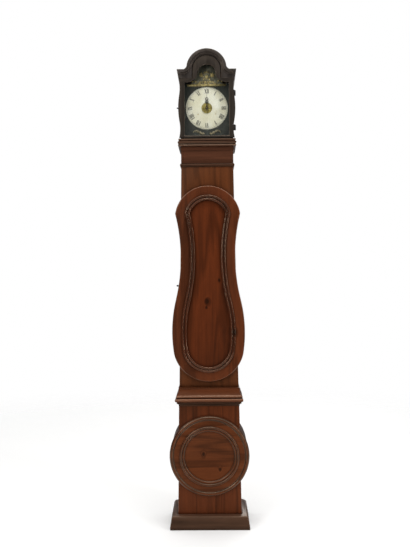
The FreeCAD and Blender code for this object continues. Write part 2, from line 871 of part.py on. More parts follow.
def make_trunk_hinge_eyes():
    def leaf(height):
        return ((trunk_hinge_x, trunk_hinge_x + trunk_leaf_width),
                (trunk_front_y, trunk_front_y + leaf_thickness))
    body = front_prism(door_outline(), door_front_y, trunk_front_y)
    return hinge_eyes(trunk_hinge_axis, trunk_hinge_heights, trunk_knuckle_radius, trunk_pin_radius,
                      leaf, body)


def make_hood_hinge_pins():
    core = box((-hood_half, hood_half), (frieze_front, back_y), (trunk_top, hood_top))
    return hinge_pins(hood_hinge_axis, hood_hinge_heights, hood_knuckle_radius, hood_pin_radius,
                      lambda height: hood_half, core)


def make_hood_hinge_eyes():
    def leaf(height):
        depth = (hood_front_y + leaf_thickness, hood_hinge_axis[1])
        return (hood_door_narrow - 1.0, hood_hinge_x - hood_pin_radius), depth
    body = front_prism(hood_door_outline(), hood_front_y, frieze_front)
    return hinge_eyes(hood_hinge_axis, hood_hinge_heights, hood_knuckle_radius, hood_pin_radius, leaf, body)


# Places of the arbors in the front plane, from the tooth counts
def pitch_radius(teeth, module):
    return teeth * module / 2.0


def polar(place, distance, angle):
    turn = math.radians(angle)
    return (place[0] + distance * math.cos(turn), place[1] + distance * math.sin(turn))


def direction(start, end):
    return math.degrees(math.atan2(end[1] - start[1], end[0] - start[0]))


great_place = (barrel_offset, dial_centre_height - barrel_drop)
strike_place = (-barrel_offset, dial_centre_height - barrel_drop)
great_mesh = math.hypot(barrel_offset, barrel_drop)
great_module = 2.0 * great_mesh / (great_teeth + centre_leaves)
centre_module = 2.0 * centre_mesh / (centre_teeth + third_leaves)
third_place = polar(centre, centre_mesh, third_angle)
third_module = 2.0 * escape_mesh / (third_teeth + escape_leaves)
escape_place = (0.0, third_place[1] + math.sqrt(escape_mesh ** 2 - third_place[0] ** 2))
pin_mesh = great_module * (strike_teeth + pin_leaves) / 2.0
pin_place = polar(strike_place, pin_mesh, pin_angle)
fly_mesh = third_module * (pin_teeth + fly_leaves) / 2.0
fly_place = polar(pin_place, fly_mesh, fly_angle)
anchor_place = (0.0, anchor_height)
motion_mesh = motion_module * (cannon_leaves + reverse_teeth) / 2.0
reverse_place = (0.0, dial_centre_height - motion_mesh)
rope_x = barrel_offset + barrel_radius + rope_radius + rope_clearance
rope_y = (barrel_front + barrel_back) / 2.0
cage_bottom = seat_top + cage_plate
cage_top = seat_top + cage_height - cage_plate
front_bar_y = (cage_front, cage_front + bar_thickness)
back_bar_y = (cage_back - bar_thickness, cage_back)
weight_top = great_place[1] - rope_length - hook_height


# Toothed disc about the Y direction, with one tooth centred on the phase angle
def toothed(place, teeth, module, y0, y1, phase):
    pitch = 360.0 / teeth
    tip = pitch_radius(teeth, module) + 0.8 * module
    root = pitch_radius(teeth, module) - 1.1 * module
    corners = []
    for tooth in range(teeth):
        middle = phase + tooth * pitch
        corners.append(polar(place, root, middle - 0.22 * pitch))
        corners.append(polar(place, tip, middle - 0.08 * pitch))
        corners.append(polar(place, tip, middle + 0.08 * pitch))
        corners.append(polar(place, root, middle + 0.22 * pitch))
    return front_prism(front_wire(corners), y0, y1)


# Tooth gap that faces the driving wheel
def gap_phase(driver, driven, teeth):
    return direction(driven, driver) + 180.0 / teeth


# Four windows that leave crossed spokes in a wheel
def spoke_windows(place, outer, inner, spoke, y0, y1):
    ring = rod_y(place, outer, y0, y1).cut(rod_y(place, inner, y0, y1))
    x, z = place
    upright = box((x - spoke, x + spoke), (y0, y1), (z - outer, z + outer))
    level = box((x - outer, x + outer), (y0, y1), (z - spoke, z + spoke))
    return ring.cut(joined([upright, level]))


def wheel(place, teeth, module, y0, phase):
    y1 = y0 + wheel_thickness
    disc = toothed(place, teeth, module, y0, y1, phase)
    rim = pitch_radius(teeth, module)
    return disc.cut(spoke_windows(place, 0.8 * rim, 0.3 * rim, 0.09 * rim, y0, y1))


# Arbor between the cage bars, with thin pivots in both
def arbor(place, radius):
    middle = rod_y(place, radius, front_bar_y[1] + end_shake, back_bar_y[0] - end_shake)
    pivots = rod_y(place, pivot_radius, front_bar_y[0] + end_shake, back_bar_y[1] - end_shake)
    return joined([middle, pivots])


# Iron cage: bottom and top plates on four square pillars
def make_movement_cage():
    low = box((-cage_half, cage_half), (cage_front, cage_back), (seat_top, cage_bottom))
    high = box((-cage_half, cage_half), (cage_front, cage_back), (cage_top, cage_top + cage_plate))
    for side in (-1.0, 1.0):
        low = low.cut(rope_room(side, seat_top, cage_bottom))
    x, y = hammer_place
    low = low.cut(rod_z(x, y, pivot_radius + pivot_clearance, seat_top, cage_bottom))
    high = high.cut(rod_z(x, y, arbor_radius + pivot_clearance, cage_top, cage_top + cage_plate))
    pillars = [box((x, x + pillar_side), (y, y + pillar_side), (cage_bottom, cage_top))
               for x in (-cage_half, cage_half - pillar_side)
               for y in (cage_front, cage_back - pillar_side)]
    return Part.makeCompound([low, high] + pillars)


# Slot that lets a rope through a plate or board
def rope_room(side, z0, z1):
    x = side * rope_x
    half = rope_slot / 2.0
    depth = rope_slot_depth / 2.0
    return box((x - half, x + half), (rope_y - depth, rope_y + depth), (z0, z1))


# Three upright bars in front and three behind, drilled for the arbors
def make_train_bars():
    thin = pivot_radius + pivot_clearance
    full = arbor_radius + pivot_clearance
    wide = barrel_arbor_radius + pivot_clearance
    half = barrel_arbor_radius * 2.0
    going = (barrel_offset - half, barrel_offset + half)
    middle = (-bar_margin, third_place[0] + bar_margin)
    strike = (min(pin_place[0], fly_place[0]) - bar_margin, half - barrel_offset)
    strike_pivots = [(pin_place, thin), (fly_place, thin)]
    train_pivots = [(third_place, thin), (escape_place, thin)]
    front_holes = {going: [(great_place, wide)],
                   strike: [(strike_place, wide)] + strike_pivots,
                   middle: [(centre, full), (anchor_place, thin), (reverse_place, thin)] + train_pivots}
    back_holes = {going: [(great_place, thin)],
                  strike: [(strike_place, thin)] + strike_pivots,
                  middle: [(centre, thin), (anchor_place, full)] + train_pivots}
    pieces = []
    for y, table in ((front_bar_y, front_holes), (back_bar_y, back_holes)):
        for x, holes in table.items():
            bar = box(x, y, (cage_bottom, cage_top))
            for place, radius in holes:
                bar = bar.cut(rod_y(place, radius, *y))
            pieces.append(bar)
    return Part.makeCompound(pieces)


# Rope drum with two flanges on a long arbor that ends in a winding square
def make_barrel(place):
    drum = rod_y(place, barrel_radius, barrel_front, barrel_back)
    front = rod_y(place, barrel_flange, barrel_front - flange_thickness, barrel_front)
    ratchet_module = 2.0 * (barrel_flange - flange_thickness) / ratchet_teeth
    back = toothed(place, ratchet_teeth, ratchet_module, barrel_back, barrel_back + flange_thickness, 0.0)
    shaft_front = dial_plate_front + 12.0
    shaft = rod_y(place, barrel_arbor_radius, shaft_front, back_bar_y[0] - end_shake)
    pivot = rod_y(place, pivot_radius, back_bar_y[0] - 1.0, back_bar_y[1] - end_shake)
    half = winding_square / 2.0
    square = box((place[0] - half, place[0] + half), (dial_plate_front - dial_edge, shaft_front + 1.0),
                 (place[1] - half, place[1] + half))
    return joined([drum, front, back, shaft, pivot, square])


def make_going_barrel():
    return make_barrel(great_place)


def make_strike_barrel():
    return make_barrel(strike_place)


def loose_wheel(place, teeth, phase):
    bore = rod_y(place, barrel_arbor_radius + pivot_clearance, great_layer, great_layer + wheel_thickness)
    return wheel(place, teeth, great_module, great_layer, phase).cut(bore)


# Pinion whose leaves reach past both faces of the wheel in its layer
def pinion(place, leaves, module, layer, driver):
    return toothed(place, leaves, module, layer - leaf_overlap, layer + wheel_thickness + leaf_overlap,
                   gap_phase(driver, place, leaves))


def make_going_great_wheel():
    return loose_wheel(great_place, great_teeth, direction(great_place, centre))


def make_strike_great_wheel():
    return loose_wheel(strike_place, strike_teeth, direction(strike_place, pin_place))


# Minute arbor: it carries the centre wheel, its pinion, the cannon pinion and, in front, the minute hand
def make_centre_wheel():
    disc = wheel(centre, centre_teeth, centre_module, centre_layer, direction(centre, third_place))
    leaves = pinion(centre, centre_leaves, great_module, great_layer, great_place)
    cannon = toothed(centre, cannon_leaves, motion_module, cannon_layer, cannon_layer + wheel_thickness,
                     direction(centre, reverse_place))
    shaft = rod_y(centre, arbor_radius, minute_hand_y - 2.0, back_bar_y[0] - end_shake)
    pivot = rod_y(centre, pivot_radius, back_bar_y[0] - 1.0, back_bar_y[1] - end_shake)
    return joined([shaft, pivot, disc, leaves, cannon])


def make_third_wheel():
    disc = wheel(third_place, third_teeth, third_module, third_layer, direction(third_place, escape_place))
    leaves = pinion(third_place, third_leaves, centre_module, centre_layer, centre)
    return joined([arbor(third_place, thin_arbor_radius), disc, leaves])


# Escape wheel with raked pointed teeth
def make_escape_wheel():
    pitch = 360.0 / escape_teeth
    corners = []
    for tooth in range(escape_teeth):
        middle = tooth * pitch
        corners.append(polar(escape_place, 0.82 * escape_wheel_radius, middle))
        corners.append(polar(escape_place, escape_wheel_radius, middle + 0.2 * pitch))
        corners.append(polar(escape_place, escape_wheel_radius, middle + 0.3 * pitch))
    disc = front_prism(front_wire(corners), escape_layer, escape_layer + wheel_thickness)
    windows = spoke_windows(escape_place, 0.68 * escape_wheel_radius, 0.25 * escape_wheel_radius, 1.6,
                            escape_layer, escape_layer + wheel_thickness)
    leaves = pinion(escape_place, escape_leaves, third_module, third_layer, third_place)
    return joined([arbor(escape_place, pivot_radius), disc.cut(windows), leaves])


# Anchor over the escape wheel, with its arbor and the crutch that reaches the pendulum
def make_anchor():
    y0 = escape_layer - 1.0
    y1 = escape_layer + wheel_thickness + 1.0
    inner = escape_wheel_radius + anchor_gap
    outer = inner + anchor_bow
    ring = rod_y(escape_place, outer, y0, y1).cut(rod_y(escape_place, inner, y0, y1))
    span = [escape_place, polar(escape_place, 2.0 * outer, 50.0), polar(escape_place, 2.0 * outer, 130.0)]
    bow = ring.common(front_prism(front_wire(span), y0, y1))
    web = box((-3.0, 3.0), (y0, y1), (escape_place[1] + inner + 1.0, anchor_height))
    boss = rod_y(anchor_place, 6.0, y0, y1)
    shaft = rod_y(anchor_place, arbor_radius, front_bar_y[1] + end_shake, crutch_y)
    pivot = rod_y(anchor_place, pivot_radius, front_bar_y[0] + end_shake, front_bar_y[1] + 1.0)
    stem = box((-2.5, 2.5), (crutch_y - crutch_thickness, crutch_y), (crutch_low, anchor_height + 4.0))
    fork = box((-8.0, 8.0), (crutch_y - crutch_thickness, pendulum_y + 6.0), (crutch_low, crutch_low + 5.0))
    room = pendulum_rod_radius + fork_clearance
    fork = fork.cut(box((-room, room), (crutch_y, pendulum_y + 7.0), (crutch_low - 1.0, crutch_low + 6.0)))
    return joined([bow, web, boss, shaft, pivot, stem, fork])


# Second wheel of the strike train, with the pins that lift the hammer
def make_pin_wheel():
    disc = wheel(pin_place, pin_teeth, third_module, pin_layer, direction(pin_place, fly_place))
    leaves = pinion(pin_place, pin_leaves, great_module, great_layer, strike_place)
    ring = 0.9 * pitch_radius(pin_teeth, third_module) - 1.0
    pins = [rod_y(polar(pin_place, ring, 360.0 / pin_count * count), 0.8 * pivot_radius, pin_layer,
                  pin_layer + 2.7 * wheel_thickness) for count in range(pin_count)]
    return joined([arbor(pin_place, thin_arbor_radius), disc, leaves] + pins)


def make_strike_fly():
    leaves = pinion(fly_place, fly_leaves, third_module, pin_layer, pin_place)
    x, z = fly_place
    vane = box((x - fly_half, x + fly_half), (fly_layer - 12.0, fly_layer + 6.0),
               (z - fly_vane / 2.0, z + fly_vane / 2.0))
    return joined([arbor(fly_place, pivot_radius), leaves, vane])


def make_reverse_wheel():
    disc = toothed(reverse_place, reverse_teeth, motion_module, cannon_layer, cannon_layer + wheel_thickness,
                   gap_phase(centre, reverse_place, reverse_teeth))
    leaves = toothed(reverse_place, reverse_leaves, motion_module, hour_layer, cannon_layer,
                     direction(reverse_place, centre))
    stem = rod_y(reverse_place, pivot_radius, hour_layer - leaf_overlap, front_bar_y[1] - end_shake)
    return joined([disc, leaves, stem])


# Upright clock hand: round hub, tapered blade and an open ring; returns it flat between two depths
def hand(length, ring_at, ring_radius, width, y0):
    y1 = y0 + hand_thickness
    x, z = centre
    blade = front_prism(front_wire([(x - width, z), (x + width, z), (x + 0.5 * width, z + ring_at),
                                    (x + 0.1 * width, z + length), (x - 0.1 * width, z + length),
                                    (x - 0.5 * width, z + ring_at)]), y0, y1)
    hub = rod_y(centre, 2.6 * width, y0, y1)
    ring_place = (x, z + ring_at)
    ring = rod_y(ring_place, ring_radius, y0, y1)
    tail = front_prism(front_wire([(x - width, z), (x + width, z), (x + 0.4 * width, z - hand_tail),
                                   (x - 0.4 * width, z - hand_tail)]), y0, y1)
    return joined([blade, hub, ring, tail]).cut(rod_y(ring_place, 0.62 * ring_radius, y0, y1))


def make_minute_hand():
    y0 = minute_hand_y - hand_thickness
    whole = hand(minute_hand_length, minute_ring_rise, 8.0, 2.2, y0)
    return whole.cut(rod_y(centre, arbor_radius, y0, minute_hand_y))


# Hour hand on its pipe, with the hour wheel behind the dial
def make_hour_hand():
    y0 = hour_hand_y - hand_thickness
    blade = hand(hour_hand_length, hour_ring_rise, 8.5, 2.8, y0)
    disc = toothed(centre, hour_teeth, motion_module, hour_layer, hour_layer + wheel_thickness,
                   gap_phase(reverse_place, centre, hour_teeth))
    pipe = rod_y(centre, hour_pipe_radius, y0, hour_layer + wheel_thickness)
    bore = rod_y(centre, arbor_radius + pivot_clearance, y0, hour_layer + wheel_thickness)
    return joined([blade, disc, pipe]).cut(bore)


# Painted iron plate on four feet that meet the edges of the cage plates
def make_dial_plate():
    back = dial_plate_front + dial_plate_thickness
    plate = box((-dial_plate_half, dial_plate_half), (dial_plate_front, back),
                (dial_plate_bottom, dial_plate_top))
    foot_x = cage_half - 1.5 * pillar_side
    half_plate = cage_plate / 2.0
    feet = [rod_y((side * foot_x, z), half_plate, back, cage_front)
            for side in (-1.0, 1.0) for z in (seat_top + half_plate, cage_top + half_plate)]
    return drilled(joined([plate] + feet), dial_plate_front, back)


def drilled(piece, y0, y1):
    holes = [rod_y(centre, dial_hole_radius, y0, y1)]
    holes += [rod_y(place, winding_hole_radius, y0, y1) for place in (great_place, strike_place)]
    return piece.cut(joined(holes))


# Slightly domed enamel disc
def make_dial_disc():
    edge = dial_edge
    top = dial_edge + dial_dome
    edges = [line((0, 0), (dial_radius, 0)), line((dial_radius, 0), (dial_radius, edge)),
             arc((dial_radius, edge), (dial_radius / 2.0, edge + 0.75 * dial_dome), (0, top)),
             line((0, top), (0, 0))]
    disc = Part.Face(Part.Wire(edges)).revolve(vec(0, 0, 0), vec(0, 0, 1), 360)
    disc.rotate(vec(0, 0, 0), vec(1, 0, 0), 90)
    disc.translate(vec(0, dial_plate_front, dial_centre_height))
    return drilled(disc, dial_plate_front - top, dial_plate_front)


def make_centre_disc():
    y1 = dial_plate_front - dial_edge - dial_dome
    y0 = y1 - centre_disc_thickness
    return rod_y(centre, centre_disc_radius, y0, y1).cut(rod_y(centre, dial_hole_radius, y0, y1))


# Pressed crest above the dial: a strip, an arched field and a few raised bosses
def make_fronton():
    low = dial_plate_top - fronton_strip - fronton_strip_drop
    strip = low + fronton_strip
    start = (fronton_half, low)
    end = (fronton_half, strip)
    shoulder = (fronton_half - fronton_shoulder, strip)
    foot = (fronton_arch_half, strip + fronton_arch_foot)
    hollow = (fronton_arch_half + 0.67 * fronton_hollow, strip + fronton_hollow)

    def side(turn):
        return [line(turn(start), turn(end)), line(turn(end), turn(shoulder)),
                arc(turn(shoulder), turn(hollow), turn(foot))]

    edges = side(tuple) + side(other) + [line(other(start), start), arc(foot, (0, fronton_top), other(foot))]
    y0 = dial_plate_front - fronton_thickness
    field = front_prism(Part.Wire(Part.sortEdges(edges)[0]), y0, dial_plate_front)
    rail = box((-fronton_half, fronton_half), (y0 - fronton_rail_proud, y0), (low, strip))
    rose = rod_y((0, strip + fronton_rose_rise), fronton_rose_radius, y0 - fronton_rail_proud, y0)
    bosses = []
    for share, rise, radius in ((0.26, 0.52, 9.0), (0.44, 0.29, 7.0), (0.62, 0.17, 5.0)):
        place = (share * fronton_half, strip + rise * fronton_rose_rise)
        for turn in (tuple, other):
            bosses.append(rod_y(turn(place), radius, y0 - fronton_boss_proud, y0))
    return joined([field, rail, rose] + bosses)


# Bracket on the cage top with the pin that the pendulum hangs from
def make_suspension_cock():
    low = cage_top + cage_plate
    high = low + 4.0
    tail = pendulum_y + 10.0
    arms = [box((side * 11.0 - 2.0, side * 11.0 + 2.0), (cage_back - 20.0, tail), (low, high))
            for side in (-1.0, 1.0)]
    bridge = box((-13.0, 13.0), (tail - 4.0, tail), (low, high))
    drop = box((-6.0, 6.0), (tail - 4.0, tail), (anchor_height - 6.0, high))
    pin = rod_y(anchor_place, arbor_radius, pendulum_y - 4.0, tail - 4.0)
    return joined(arms + [bridge, drop, pin])


def make_pendulum_rod():
    loop = rod_y(anchor_place, 6.0, pendulum_y - 2.5, pendulum_y + 2.5)
    nut_top = anchor_height - pendulum_length - bob_radius
    stem = rod_z(0, pendulum_y, pendulum_rod_radius, nut_top - 2.5 * pendulum_nut, anchor_height - 3.0)
    nut = rod_z(0, pendulum_y, pendulum_nut, nut_top - pendulum_nut, nut_top)
    eye = rod_y(anchor_place, arbor_radius + pivot_clearance, pendulum_y - 4.0, pendulum_y + 4.0)
    return joined([loop, stem, nut]).cut(eye)


# Lens-shaped bob, pierced by the rod
def make_pendulum_bob():
    half = bob_thickness / 2.0
    rim = bob_rim / 2.0
    edges = [arc((0, -half), (0.62 * bob_radius, -0.62 * half), (bob_radius, -rim)),
             line((bob_radius, -rim), (bob_radius, rim)),
             arc((bob_radius, rim), (0.62 * bob_radius, 0.62 * half), (0, half)),
             line((0, half), (0, -half))]
    lens = Part.Face(Part.Wire(edges)).revolve(vec(0, 0, 0), vec(0, 0, 1), 360)
    lens.rotate(vec(0, 0, 0), vec(1, 0, 0), 90)
    z = anchor_height - pendulum_length
    lens.translate(vec(0, pendulum_y, z))
    return lens.cut(rod_z(0, pendulum_y, pendulum_rod_radius, z - 2.0 * bob_radius, z + 2.0 * bob_radius))


bell_rim = cage_top + cage_plate + bell_lift


def make_bell():
    hole = bell_stem + 1.0
    swell = (0.84 * bell_radius, 0.65 * bell_height)
    edges = [arc((bell_radius, 0), swell, (hole, bell_height)),
             line((hole, bell_height), (hole, bell_height - bell_wall)),
             arc((hole, bell_height - bell_wall), (swell[0] - bell_wall, swell[1] - bell_wall / 2.0),
                 (bell_radius - bell_wall, 0)),
             line((bell_radius - bell_wall, 0), (bell_radius, 0))]
    bell = Part.Face(Part.Wire(edges)).revolve(vec(0, 0, 0), vec(0, 0, 1), 360)
    bell.translate(vec(0, bell_y, bell_rim))
    return bell


def make_bell_stand():
    floor = cage_top + cage_plate
    crown = bell_rim + bell_height
    stem = rod_z(0, bell_y, bell_stem, floor, crown + bell_nut)
    foot = rod_z(0, bell_y, 3.0 * bell_stem, floor, floor + bell_stem)
    collar = rod_z(0, bell_y, bell_nut, crown - bell_wall - bell_stem, crown - bell_wall)
    nut = rod_z(0, bell_y, bell_nut, crown, crown + 0.75 * bell_nut)
    return joined([stem, foot, collar, nut]).cut(make_bell())


# Hammer on an upright arbor: head beside the bell, lifting tail near the pin wheel
def make_hammer():
    x, y = hammer_place
    top = bell_rim + 6.0
    shaft = rod_z(x, y, arbor_radius, cage_bottom + end_shake, top + 2.0 * arbor_radius)
    pivot = rod_z(x, y, pivot_radius, seat_top + end_shake, cage_bottom + 1.0)
    head_x = -bell_radius - hammer_gap - hammer_head
    head_y = bell_y
    reach = math.hypot(head_x - x, head_y - y)
    lean = math.degrees(math.atan2(head_x - x, y - head_y))
    arm = box((x - 2.0, x + 2.0), (y - reach, y), (top - 2.0, top + 2.0))
    arm.rotate(vec(x, y, top), vec(0, 0, 1), lean)
    head = Part.makeSphere(hammer_head, vec(head_x, head_y, top))
    tail = box((x - 1.5, x + 1.5), (y - hammer_tail, y), (pin_place[1] - 3.0, pin_place[1] + 3.0))
    tail.rotate(vec(x, y, pin_place[1]), vec(0, 0, 1), 18.0)
    return joined([shaft, pivot, arm, head, tail])


# Cast weight with a hook stem
def make_weight(side):
    low = weight_top - weight_height
    high = weight_top
    stem_top = high + hook_height
    edge = weight_shoulder / 3.0
    edges = [line((0, low), (weight_radius - edge, low)),
             line((weight_radius - edge, low), (weight_radius, low + edge)),
             line((weight_radius, low + edge), (weight_radius, high - weight_shoulder)),
             arc((weight_radius, high - weight_shoulder), (weight_radius - edge, high - edge),
                 (weight_radius - weight_shoulder, high)),
             line((weight_radius - weight_shoulder, high), (hook_radius, high)),
             line((hook_radius, high), (hook_radius, stem_top)),
             line((hook_radius, stem_top), (0, stem_top)), line((0, stem_top), (0, low))]
    weight = Part.Face(Part.Wire(edges)).revolve(vec(0, 0, 0), vec(0, 0, 1), 360)
    weight.translate(vec(side * rope_x, rope_y, 0))
    return weight


# Plain stretch of rope from the hook of a weight to the side of its drum
def make_rope(side):
    return rod_z(side * rope_x, rope_y, rope_radius, weight_top + hook_height, great_place[1])


# Seat board of the movement on two cheeks inside the trunk sides
def make_movement_seat():
    depth = (seat_front, pendulum_y - pendulum_rod_radius - seat_clearance)
    under = seat_top - seat_thickness
    cheek_outer = trunk_half_top - trunk_board
    cheek_inner = cheek_outer - seat_cheek
    board = box((-cheek_outer, cheek_outer), depth, (under, seat_top))
    for side in (-1.0, 1.0):
        board = board.cut(rope_room(side, under, seat_top))
    foot = (trunk_half(seat_cheek_bottom) - trunk_board, seat_cheek_bottom)
    outline = front_wire([(cheek_inner, seat_cheek_bottom), foot, (cheek_outer, trunk_top),
                          (cheek_outer, under), (cheek_inner, under)])
    right = front_prism(outline, *depth)
    return Part.makeCompound([board, right, mirrored(right)])


def all_parts():
    base_side = make_base_side()
    trunk_side = make_trunk_side()
    hood_side = make_hood_side()
    cheek = make_drum_cheek()
    return {
        "plinth": make_plinth(), "base_front": make_base_front(),
        "base_left_side": mirrored(base_side), "base_right_side": base_side,
        "back_board": make_back_board(), "drum_disc": make_drum_disc(),
        "drum_cheeks": Part.makeCompound([cheek, mirrored(cheek)]),
        "waist_moulding": make_waist_moulding(), "trunk_front": make_trunk_front(),
        "trunk_left_side": mirrored(trunk_side), "trunk_right_side": trunk_side,
        "trunk_collar": make_trunk_collar(), "trunk_hinge_pins": make_trunk_hinge_pins(),
        "movement_seat": make_movement_seat(),
        "trunk_door": make_trunk_door(), "trunk_door_panel": make_trunk_door_panel(),
        "trunk_door_moulding": make_trunk_door_moulding(), "trunk_hinge_eyes": make_trunk_hinge_eyes(),
        "trunk_door_pull": make_trunk_door_pull(),
        "hood_left_side": mirrored(hood_side), "hood_right_side": hood_side,
        "hood_frieze": make_hood_frieze(), "hood_base_moulding": make_hood_base_moulding(),
        "hood_cornice": make_hood_cornice(), "hood_roof": make_hood_roof(), "hood_back": make_hood_back(),
        "hood_hinge_pins": make_hood_hinge_pins(),
        "hood_door": make_hood_door(), "hood_door_glass": make_hood_door_glass(),
        "hood_hinge_eyes": make_hood_hinge_eyes(), "hood_door_knob": make_hood_door_knob(),
        "movement_cage": make_movement_cage(), "train_bars": make_train_bars(),
        "dial_plate": make_dial_plate(), "dial_disc": make_dial_disc(), "centre_disc": make_centre_disc(),
        "fronton": make_fronton(), "suspension_cock": make_suspension_cock(),
        "bell": make_bell(), "bell_stand": make_bell_stand(), "hammer": make_hammer(),
        "going_barrel": make_going_barrel(), "going_great_wheel": make_going_great_wheel(),
        "centre_wheel": make_centre_wheel(), "third_wheel": make_third_wheel(),
        "escape_wheel": make_escape_wheel(), "anchor": make_anchor(),
        "pendulum_rod": make_pendulum_rod(), "pendulum_bob": make_pendulum_bob(),
        "reverse_wheel": make_reverse_wheel(), "hour_hand": make_hour_hand(),
        "minute_hand": make_minute_hand(),
        "strike_barrel": make_strike_barrel(), "strike_great_wheel": make_strike_great_wheel(),
        "pin_wheel": make_pin_wheel(), "strike_fly": make_strike_fly(),
        "going_weight": make_weight(1.0), "strike_weight": make_weight(-1.0),
        "going_rope": make_rope(1.0), "strike_rope": make_rope(-1.0),
    }


def main():
    os.makedirs("parts", exist_ok=True)
    for name, shape in all_parts().items():
        shape.exportStep(os.path.join("parts", name + ".step"))
        print(name, len(shape.Solids), round(shape.Volume / 1000.0, 1), shape.isValid())


if __name__ == "__main__":
    main()
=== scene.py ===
import bpy
import json
import math
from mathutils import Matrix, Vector


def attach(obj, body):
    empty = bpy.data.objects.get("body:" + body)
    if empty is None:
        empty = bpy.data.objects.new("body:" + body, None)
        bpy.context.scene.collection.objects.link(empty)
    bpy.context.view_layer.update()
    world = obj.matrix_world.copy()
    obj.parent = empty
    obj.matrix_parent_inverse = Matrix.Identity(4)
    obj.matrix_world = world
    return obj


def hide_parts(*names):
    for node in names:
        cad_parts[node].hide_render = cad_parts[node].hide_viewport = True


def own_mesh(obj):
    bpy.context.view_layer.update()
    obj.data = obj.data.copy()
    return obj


# Tall case clock with a drum base, a violin-shaped door and an arched hood, dressed over its frame.

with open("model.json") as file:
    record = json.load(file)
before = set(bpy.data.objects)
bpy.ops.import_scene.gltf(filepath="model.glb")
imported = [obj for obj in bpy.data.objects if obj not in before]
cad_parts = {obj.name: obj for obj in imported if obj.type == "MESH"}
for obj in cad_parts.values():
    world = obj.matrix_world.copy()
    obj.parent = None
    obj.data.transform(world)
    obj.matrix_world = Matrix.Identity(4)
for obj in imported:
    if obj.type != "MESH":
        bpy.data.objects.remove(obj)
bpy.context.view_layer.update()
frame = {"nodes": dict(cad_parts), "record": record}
nodes = frame["nodes"]
bodyOf = {node: body for body, held in frame["record"]["behaviour"]["bodies"].items() for node in held}
slotOf = {row["node"]: row["material_slot"] for row in frame["record"]["subparts"]}
print("frame loaded:", len(nodes), "nodes")


# Small helpers for shader nodes

def addNode(tree, kind, **settings):
    node = tree.nodes.new(kind)
    for key, value in settings.items():
        setattr(node, key, value)
    return node


def mathNode(tree, operation, first, second=None, clamp=False):
    node = addNode(tree, "ShaderNodeMath", operation=operation, use_clamp=clamp)
    for place, value in enumerate((first, second)):
        if value is None:
            continue
        if isinstance(value, (int, float)):
            node.inputs[place].default_value = value
        else:
            tree.links.new(value, node.inputs[place])
    return node.outputs[0]


def noiseNode(tree, vector, scale, detail=3.0, roughness=0.5):
    node = addNode(tree, "ShaderNodeTexNoise")
    tree.links.new(vector, node.inputs["Vector"])
    node.inputs["Scale"].default_value = scale
    node.inputs["Detail"].default_value = detail
    node.inputs["Roughness"].default_value = roughness
    return node.outputs["Fac"]


def stretched(tree, vector, scale, place=(0.0, 0.0, 0.0), turn=(0.0, 0.0, 0.0)):
    node = addNode(tree, "ShaderNodeMapping")
    tree.links.new(vector, node.inputs["Vector"])
    node.inputs["Location"].default_value = place
    node.inputs["Rotation"].default_value = [math.radians(angle) for angle in turn]
    node.inputs["Scale"].default_value = scale
    return node.outputs["Vector"]


def rampNode(tree, value, stops):
    node = addNode(tree, "ShaderNodeValToRGB")
    tree.links.new(value, node.inputs["Fac"])
    band = node.color_ramp
    while len(band.elements) < len(stops):
        band.elements.new(0.5)
    for element, (place, colour) in zip(band.elements, stops):
        element.position = place
        element.color = colour if len(colour) == 4 else (*colour, 1.0)
    return node.outputs["Color"]


def grey(value):
    return (value, value, value, 1.0)


def rangeNode(tree, value, low, high, newLow, newHigh):
    node = addNode(tree, "ShaderNodeMapRange")
    tree.links.new(value, node.inputs["Value"])
    for name, number in (("From Min", low), ("From Max", high), ("To Min", newLow), ("To Max", newHigh)):
        node.inputs[name].default_value = number
    return node.outputs["Result"]


def mixNode(tree, factor, first, second, blend="MIX"):
    node = addNode(tree, "ShaderNodeMix", data_type="RGBA", blend_type=blend)
    for socket, value in ((node.inputs["Factor"], factor), (node.inputs[6], first), (node.inputs[7], second)):
        if isinstance(value, (int, float)):
            socket.default_value = value
        elif isinstance(value, tuple):
            socket.default_value = value if len(value) == 4 else (*value, 1.0)
        else:
            tree.links.new(value, socket)
    return node.outputs[2]


def bumpNode(tree, height, strength, distance):
    node = addNode(tree, "ShaderNodeBump")
    tree.links.new(height, node.inputs["Height"])
    node.inputs["Strength"].default_value = strength
    node.inputs["Distance"].default_value = distance
    return node.outputs["Normal"]


def objectPoints(tree):
    return addNode(tree, "ShaderNodeTexCoord").outputs["Object"]


def newMaterial(name, **plain):
    material = bpy.data.materials.new(name)
    material.use_nodes = True
    shader = material.node_tree.nodes["Principled BSDF"]
    for socket, value in plain.items():
        shader.inputs[socket.replace("_", " ")].default_value = value
    return material, material.node_tree, shader


def newGroup(name, inputs, outputs):
    group = bpy.data.node_groups.new(name, "ShaderNodeTree")
    for socket, kind, value in inputs:
        made = group.interface.new_socket(name=socket, in_out="INPUT", socket_type=kind)
        if value is not None:
            made.default_value = value
    for socket, kind in outputs:
        group.interface.new_socket(name=socket, in_out="OUTPUT", socket_type=kind)
    start = addNode(group, "NodeGroupInput")
    end = addNode(group, "NodeGroupOutput")
    return group, start, end


def placeGroup(tree, group, vector, **values):
    node = addNode(tree, "ShaderNodeGroup", node_tree=group)
    tree.links.new(vector, node.inputs["Vector"])
    for socket, value in values.items():
        name = socket.replace("_", " ")
        if isinstance(value, (int, float)):
            node.inputs[name].default_value = value
        else:
            tree.links.new(value, node.inputs[name])
    return node


# Room: pale floor, white surroundings, soft lights and the camera

